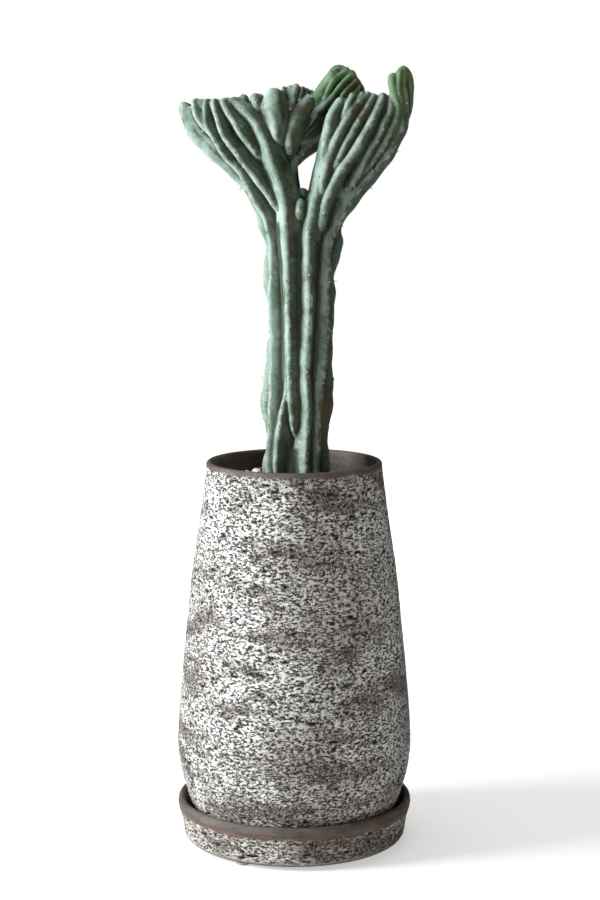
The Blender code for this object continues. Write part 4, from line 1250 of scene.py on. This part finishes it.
def bridge_ribs() -> list[Rib]:
    """Return the ribs between the two fans, which lead back to the green lobe."""
    return [
        Rib("bridge_a", ((-7, -29, 706), (-6, -30, 718), (-4, -29, 730), (1, -27, 742), (9, -22, 754),
            (20, -15, 767)), (-12, -6), (7, 11.5, 11.5, 7), (4.2, 5.8, 4.8), (12, 12, 9), 6),
        Rib("bridge_b", ((-4, -25, 706), (3, -20, 721), (13, -14, 734), (23, -6, 747), (34, 4, 759),
            (43, 10, 769)), (10, 0), (5, 4.5), (2.4,), (12, 9), 6, 0.3),
        Rib("bridge_c", ((3, -26, 655), (0, -26, 676), (-1, -25, 688), (3, -20, 701), (13, -12, 710),
            (26, -2, 719), (40, 8, 734)), (25, 20), (9.5, 8), (4.6,), (15, 12), 8),
        Rib("bridge_d", ((4, -6, 700), (14, 2, 712), (28, 10, 724), (44, 16, 742)), (60, 40), (9, 8),
            (4,), (12, 10), 6),
        Rib("fork_web", ((7, -20, 640), (8, -18, 655), (11, -14, 668), (14, -7, 677)), (10,), (11, 9),
            (9, 7), (18, 16), 2, 0),
        Rib("bud", ((4, -30, 636), (4, -35, 646), (5, -35, 656), (6, -30, 667)), (-10,), (5.5,), (4.2,),
            (12,), 5, 0),
    ]


def lobe_ribs() -> list[Rib]:
    """Return the ribs of the young lobe behind the right fan, curling to the right."""
    lobe: dict[str, Any] = dict(facing=(-35, -5), half_width=(3.8, 3.6), nose=(2.3, 2.5), depth=(11, 9),
                                sink=4, wave=0.2, age=Age.YOUNG)
    behind: dict[str, Any] = dict(facing=(165,), half_width=(9, 9, 6), nose=(3.2, 3.6),
                                  depth=(14, 12, 9), sink=8, wave=0.4, age=Age.YOUNG)
    return [
        Rib("lobe_1", ((25, 16, 756), (27, 17, 770), (34, 19, 785), (42, 23, 791), (50, 29, 790),
            (56, 35, 784)), **lobe),
        Rib("lobe_2", ((27, 11, 752), (31, 11, 766), (38, 13, 779), (46, 17, 786), (54, 23, 788),
            (60, 31, 784)), **lobe),
        Rib("lobe_3", ((33, 6, 753), (38, 8, 765), (46, 10, 776), (54, 15, 783), (60, 21, 784),
            (65, 29, 780)), **lobe),
        Rib("lobe_4", ((42, 5, 756), (48, 7, 766), (55, 11, 774), (62, 17, 779), (67, 25, 778)),
            **lobe),
        Rib("lobe_5", ((51, 7, 757), (57, 9, 765), (63, 14, 771), (67, 20, 774), (70, 27, 772)),
            **lobe),
        Rib("lobe_6", ((59, 11, 755), (65, 14, 762), (70, 20, 766), (72, 27, 765)), **lobe),
        Rib("lobe_back_1", ((-14, 20, 680), (-8, 24, 702), (6, 29, 728), (22, 34, 754), (35, 33, 776),
            (46, 28, 790)), **behind),
        Rib("lobe_back_2", ((-7, 18, 684), (1, 24, 704), (14, 29, 724), (31, 34, 745), (45, 36, 765),
            (53, 33, 779), (57, 28, 786)), **behind),
        Rib("lobe_back_3", ((0, 14, 692), (10, 21, 711), (25, 27, 727), (42, 31, 743), (57, 33, 761),
            (63, 31, 774), (64, 26, 781)), **behind),
    ]


def right_fan_ribs() -> list[Rib]:
    """Return the ribs of the right fan, left to right."""
    small: dict[str, Any] = dict(nose=(3.2, 3.4), wave=0.3)
    return [
        Rib("right_b", ((43, -34, 728), (47, -34, 741), (53, -30, 756), (59, -22, 770)), (-15,),
            (4, 5.5, 5), depth=(12, 9), **small),
        Rib("right_c", ((62, -27, 758), (69, -20, 770)), (-10,), (4,), (2.4,), (9, 8), 4, 0.2),
        Rib("right_d", ((24, -37, 658), (28, -39, 684), (35, -39, 708), (46, -36, 733), (59, -30, 754),
            (77, -17, 770)), (-14, -22), (6, 8, 9, 8, 5), (4.0, 4.8, 4.0), (14, 15, 10), 8),
        Rib("right_e", ((35, -37, 684), (45, -38, 706), (58, -35, 731), (71, -28, 752), (81, -17, 769)),
            (-12, -18), (5, 7, 7, 5), (3.5, 3.6), (14, 13, 9), 6, 0.3),
        Rib("right_f", ((26, -36, 630), (31, -38, 656), (42, -40, 684), (58, -40, 707), (71, -37, 728),
            (83, -29, 752), (90, -18, 770)), (4, -6), (9, 9, 8, 6), (4.4, 4.8, 4.0), (18, 16, 10), 8),
        Rib("right_g", ((58, -28, 674), (70, -31, 698), (80, -32, 716), (89, -30, 734), (96, -26, 750),
            (97, -19, 768)), (18, 8), (6, 5.5, 5), (3.5, 3.6), (14, 9), 6, 0.3),
        Rib("right_h", ((54, -13, 666), (67, -24, 686), (80, -26, 701), (91, -26, 717), (99, -24, 733),
            (105, -20, 750)), (36, 24), (6, 5.5, 5), (3.5, 3.6), (14, 9), 6, 0.3),
        Rib("right_i", ((59, -8, 661), (77, -18, 684), (93, -19, 702), (104, -17, 722),
            (111, -15, 742)), (52, 40), (6, 5.5, 5), (3.5, 3.6), (14, 10), 6, 0.3),
    ]


def curl_ribs() -> list[Rib]:
    """Return the ribs of the curled tip at the end of the right fan."""
    curl: dict[str, Any] = dict(depth=(12, 11, 9), sink=14, wave=0.2)
    thin: dict[str, Any] = dict(half_width=(5, 5, 4.5), nose=(2.8, 3.2), age=Age.TIP, **curl)
    wide: dict[str, Any] = dict(half_width=(8, 7, 6), nose=(4.2, 4.6), age=Age.TIP, **curl)
    return [
        Rib("curl_1", ((64, -20, 702), (92, -24, 730), (100, -23, 750), (96, -22, 768), (94, -17, 781),
            (98, -10, 790)), (-40,), half_width=(6, 6, 5.5), nose=(4.0, 4.6), age=Age.YOUNG, **curl),
        Rib("curl_2", ((84, -20, 704), (105, -21, 730), (106, -22, 752), (103, -22, 770),
            (104, -16, 786), (107, -8, 795)), (-14,), **thin),
        Rib("curl_3", ((86, -15, 704), (109, -17, 732), (112, -19, 754), (110, -19, 773),
            (110, -13, 788), (109, -5, 797)), (14,), **thin),
        Rib("curl_4", ((82, -8, 698), (105, -10, 722), (116, -11, 748), (118, -11, 768), (116, -8, 786),
            (110, -2, 797)), (50,), **wide),
        Rib("curl_5", ((78, 0, 694), (103, 0, 718), (116, 0, 744), (120, -1, 766), (118, -1, 786),
            (110, 0, 797)), (86,), **wide),
        Rib("curl_6", ((78, 8, 698), (102, 11, 726), (112, 14, 752), (112, 12, 774), (108, 7, 789),
            (105, 2, 794)), (150,), **wide),
        Rib("curl_7", ((64, 6, 702), (92, 10, 730), (100, 10, 756), (99, 8, 776), (101, 2, 788)),
            (-150,), **wide),
    ]


def rear_ribs(front: list[Rib]) -> list[Rib]:
    """Return the back of the crest: the longer front ribs turned about and spread anew."""
    rear = []
    for rib in front:
        if rib.name.startswith(("finger", "wide", "right_i")):
            continue
        route = []
        for x, _, z in rib.route:
            side = np.interp(z, (640, 690, 745, 775), (27, 25, 18, 8))
            route.append((x * 0.97 + 3, float(side), z - 2))
        facing = tuple(180 - angle for angle in rib.facing)
        rear.append(replace(rib, name=rib.name + "_back", route=tuple(route), facing=facing,
                            sink=14, pitch=26))
    return rear


def core_ribs() -> list[Rib]:
    """Return the flesh inside the ribs, so that the stem and both fans are solid through."""
    limbs = [
        ((0, -2, 640), (-40, -4, 700), (-98, -6, 746)),
        ((0, -2, 640), (-32, -6, 700), (-78, -8, 748)),
        ((0, -2, 640), (-24, -8, 700), (-58, -8, 750)),
        ((0, -2, 640), (-14, -8, 700), (-36, -6, 754)),
        ((0, -2, 640), (-8, -8, 700), (-16, -10, 758)),
        ((22, -2, 625), (56, -4, 690), (104, -4, 750)),
        ((22, -2, 625), (48, -8, 690), (84, -10, 752)),
        ((22, -2, 625), (42, -10, 695), (64, -14, 750)),
        ((28, -8, 650), (38, -14, 700), (48, -18, 742)),
        ((-8, -2, 700), (10, 8, 732), (38, 18, 770)),
        ((-8, -2, 700), (18, 8, 732), (54, 18, 764)),
    ]
    return [Rib(f"core_{number}", limb, (0,), (10, 11, 7), (9, 10, 6), (10, 11, 8), 0, 0)
            for number, limb in enumerate(limbs)]


def stem_core() -> Solid:
    """Return corners and faces of the round heart of the stem, down to its planted foot."""
    sides = 32
    sections = [(1, -1, 15, 325.5), (1, -1, 24.3, 330.5), (1, -1, 27, 337.5), (1, -1, 27, 375.5),
                (3, 0, 23.5, 420), (6, 0, 22, 500), (8, 0, 22.5, 580), (7, 0, 25, 620), (5, 0, 24, 650),
                (3, -1, 12, 668)]
    turn = np.arange(sides) * 2 * math.pi / sides
    rings = [np.column_stack([x + radius * np.cos(turn), y + radius * np.sin(turn),
                              np.full(sides, float(height))]) for x, y, radius, height in sections]
    faces = grid_faces(len(rings), sides, False)
    last = (len(rings) - 1) * sides
    faces.append(tuple(range(sides))[::-1])
    faces.append(tuple(range(last, last + sides)))
    return np.vstack(rings), faces


# ---- studio -------------------------------------------------------------------
@dataclass
class Studio:
    """Pale floor, soft lights and the camera."""

    eye: Point = (0.0059, -2.023, 0.698)
    tilt: float = 8.17          # degrees that the camera looks down
    lens: float = 80.0
    sensor: float = 36.0
    floor_reach: float = 9.0
    floor_cells: int = 24
    aim: Point = (0.0, 0.0, 0.40)
    air: float = 0.08           # strength of the light from all round

    def floor(self) -> None:
        """Lay the floor: one wide flat sheet."""
        bm = bmesh.new()
        bmesh.ops.create_grid(bm, x_segments=self.floor_cells, y_segments=self.floor_cells,
                              size=self.floor_reach)
        mesh = bpy.data.meshes.new("studio_floor")
        bm.to_mesh(mesh)
        bm.free()
        sheet = bpy.data.objects.new("studio_floor", mesh)
        mesh.materials.append(PaperFinish().build())
        bpy.context.scene.collection.objects.link(sheet)

    def light(self, name: str, place: Point, target: Point, size: tuple[float, float], power: float,
              colour: Colour) -> None:
        """Hang one soft light.

        Args:
            name: the light's name.
            place: where it hangs.
            target: the point that it shines at.
            size: its width and height in metres.
            power: its power in watts.
            colour: its colour.
        """
        lamp = bpy.data.lights.new(name, "AREA")
        lamp.shape = "RECTANGLE"
        lamp.size, lamp.size_y = size
        lamp.energy = power
        lamp.color = colour
        thing = bpy.data.objects.new(name, lamp)
        thing.location = place
        thing.rotation_euler = (Vector(target) - Vector(place)).to_track_quat("-Z", "Y").to_euler()
        bpy.context.scene.collection.objects.link(thing)

    def world(self) -> None:
        """Surround everything with dim white light in front of a white background."""
        world = bpy.data.worlds.new("studio_air")
        world.use_nodes = True
        tree = world.node_tree
        air = tree.nodes["Background"]
        air.inputs["Color"].default_value = (1.0, 0.985, 0.96, 1.0)
        air.inputs["Strength"].default_value = self.air
        wall = tree.nodes.new("ShaderNodeBackground")
        wall.inputs["Color"].default_value = (1.0, 1.0, 1.0, 1.0)
        wall.inputs["Strength"].default_value = 1.0
        path = tree.nodes.new("ShaderNodeLightPath")
        choose = tree.nodes.new("ShaderNodeMixShader")
        tree.links.new(path.outputs["Is Camera Ray"], choose.inputs[0])
        tree.links.new(air.outputs[0], choose.inputs[1])
        tree.links.new(wall.outputs[0], choose.inputs[2])
        tree.links.new(choose.outputs[0], tree.nodes["World Output"].inputs["Surface"])
        bpy.context.scene.world = world

    def camera(self) -> None:
        """Set up the camera."""
        lens = bpy.data.cameras.new("studio_camera")
        lens.lens = self.lens
        lens.sensor_width = self.sensor
        thing = bpy.data.objects.new("studio_camera", lens)
        thing.location = self.eye
        thing.rotation_euler = (math.radians(90 - self.tilt), 0, 0)
        bpy.context.scene.collection.objects.link(thing)
        bpy.context.scene.camera = thing

    def build(self) -> None:
        """Set the whole studio up."""
        self.floor()
        self.world()
        self.camera()
        self.light("window", (-1.85, -0.45, 0.90), self.aim, (0.8, 1.4), 76.0, (0.98, 1.0, 1.0))
        self.light("ceiling", (-0.35, 0.1, 2.3), (0.0, 0.0, 0.3), (1.6, 1.6), 20.0, (1.0, 1.0, 1.0))
        self.light("bounce", (0.7, -2.0, 0.6), self.aim, (1.4, 1.4), 11.0, (1.0, 0.92, 0.82))
        bpy.context.scene.view_settings.view_transform = "Standard"


def main() -> None:
    """Build every piece, then the studio round it."""
    logging.basicConfig(level=logging.INFO, format="%(name)s %(message)s")
    Studio().build()
    tall_pot().build(StonewareFinish("pot_crust").build(), "pot")
    deep_saucer().build(StonewareFinish("saucer_crust", white=(0.62, 0.60, 0.56)).build(), "saucer")
    mix = SpeckledFinish("potting_mix", (0.085, 0.062, 0.045), (0.022, 0.016, 0.012),
                         (0.30, 0.26, 0.20), 300, 1100, 0.4 * MM, 0.97)
    grit = SpeckledFinish("loose_grit", (0.42, 0.36, 0.28), (0.060, 0.042, 0.030),
                          (0.62, 0.58, 0.50), 260, 1900, 0.15 * MM, 0.93)
    PottingMix().build(mix.build(), grit.build())
    white = SpeckledFinish("white_stone", (0.86, 0.85, 0.82), (0.66, 0.63, 0.57), (0.40, 0.37, 0.33),
                           130, 1500, 0.12 * MM, 0.8)
    TopDressing().build(white.build())
    rubber = MouldedFinish("pad_rubber", (0.30, 0.29, 0.27), (0.50, 0.48, 0.45), 0.75).build()
    for node in nodes_named("foot_pad_"):
        dress(node, rubber)
    plastic = MouldedFinish("net_plastic", (0.02, 0.022, 0.02), (0.20, 0.17, 0.14), 0.55).build()
    dress("drain_net", plastic)
    wool = SpeckledFinish("areole_wool", (0.52, 0.54, 0.47), (0.16, 0.15, 0.11), (0.74, 0.74, 0.68),
                          700, 3200, 0.10 * MM, 0.97)
    thorn = SpeckledFinish("thorn", (0.60, 0.50, 0.36), (0.20, 0.12, 0.07), (0.75, 0.68, 0.55),
                           500, 2600, 0.03 * MM, 0.6)
    CrestedCactus().build(SkinFinish().build(), wool.build(), thorn.build())


if __name__ == "__main__":
    main()
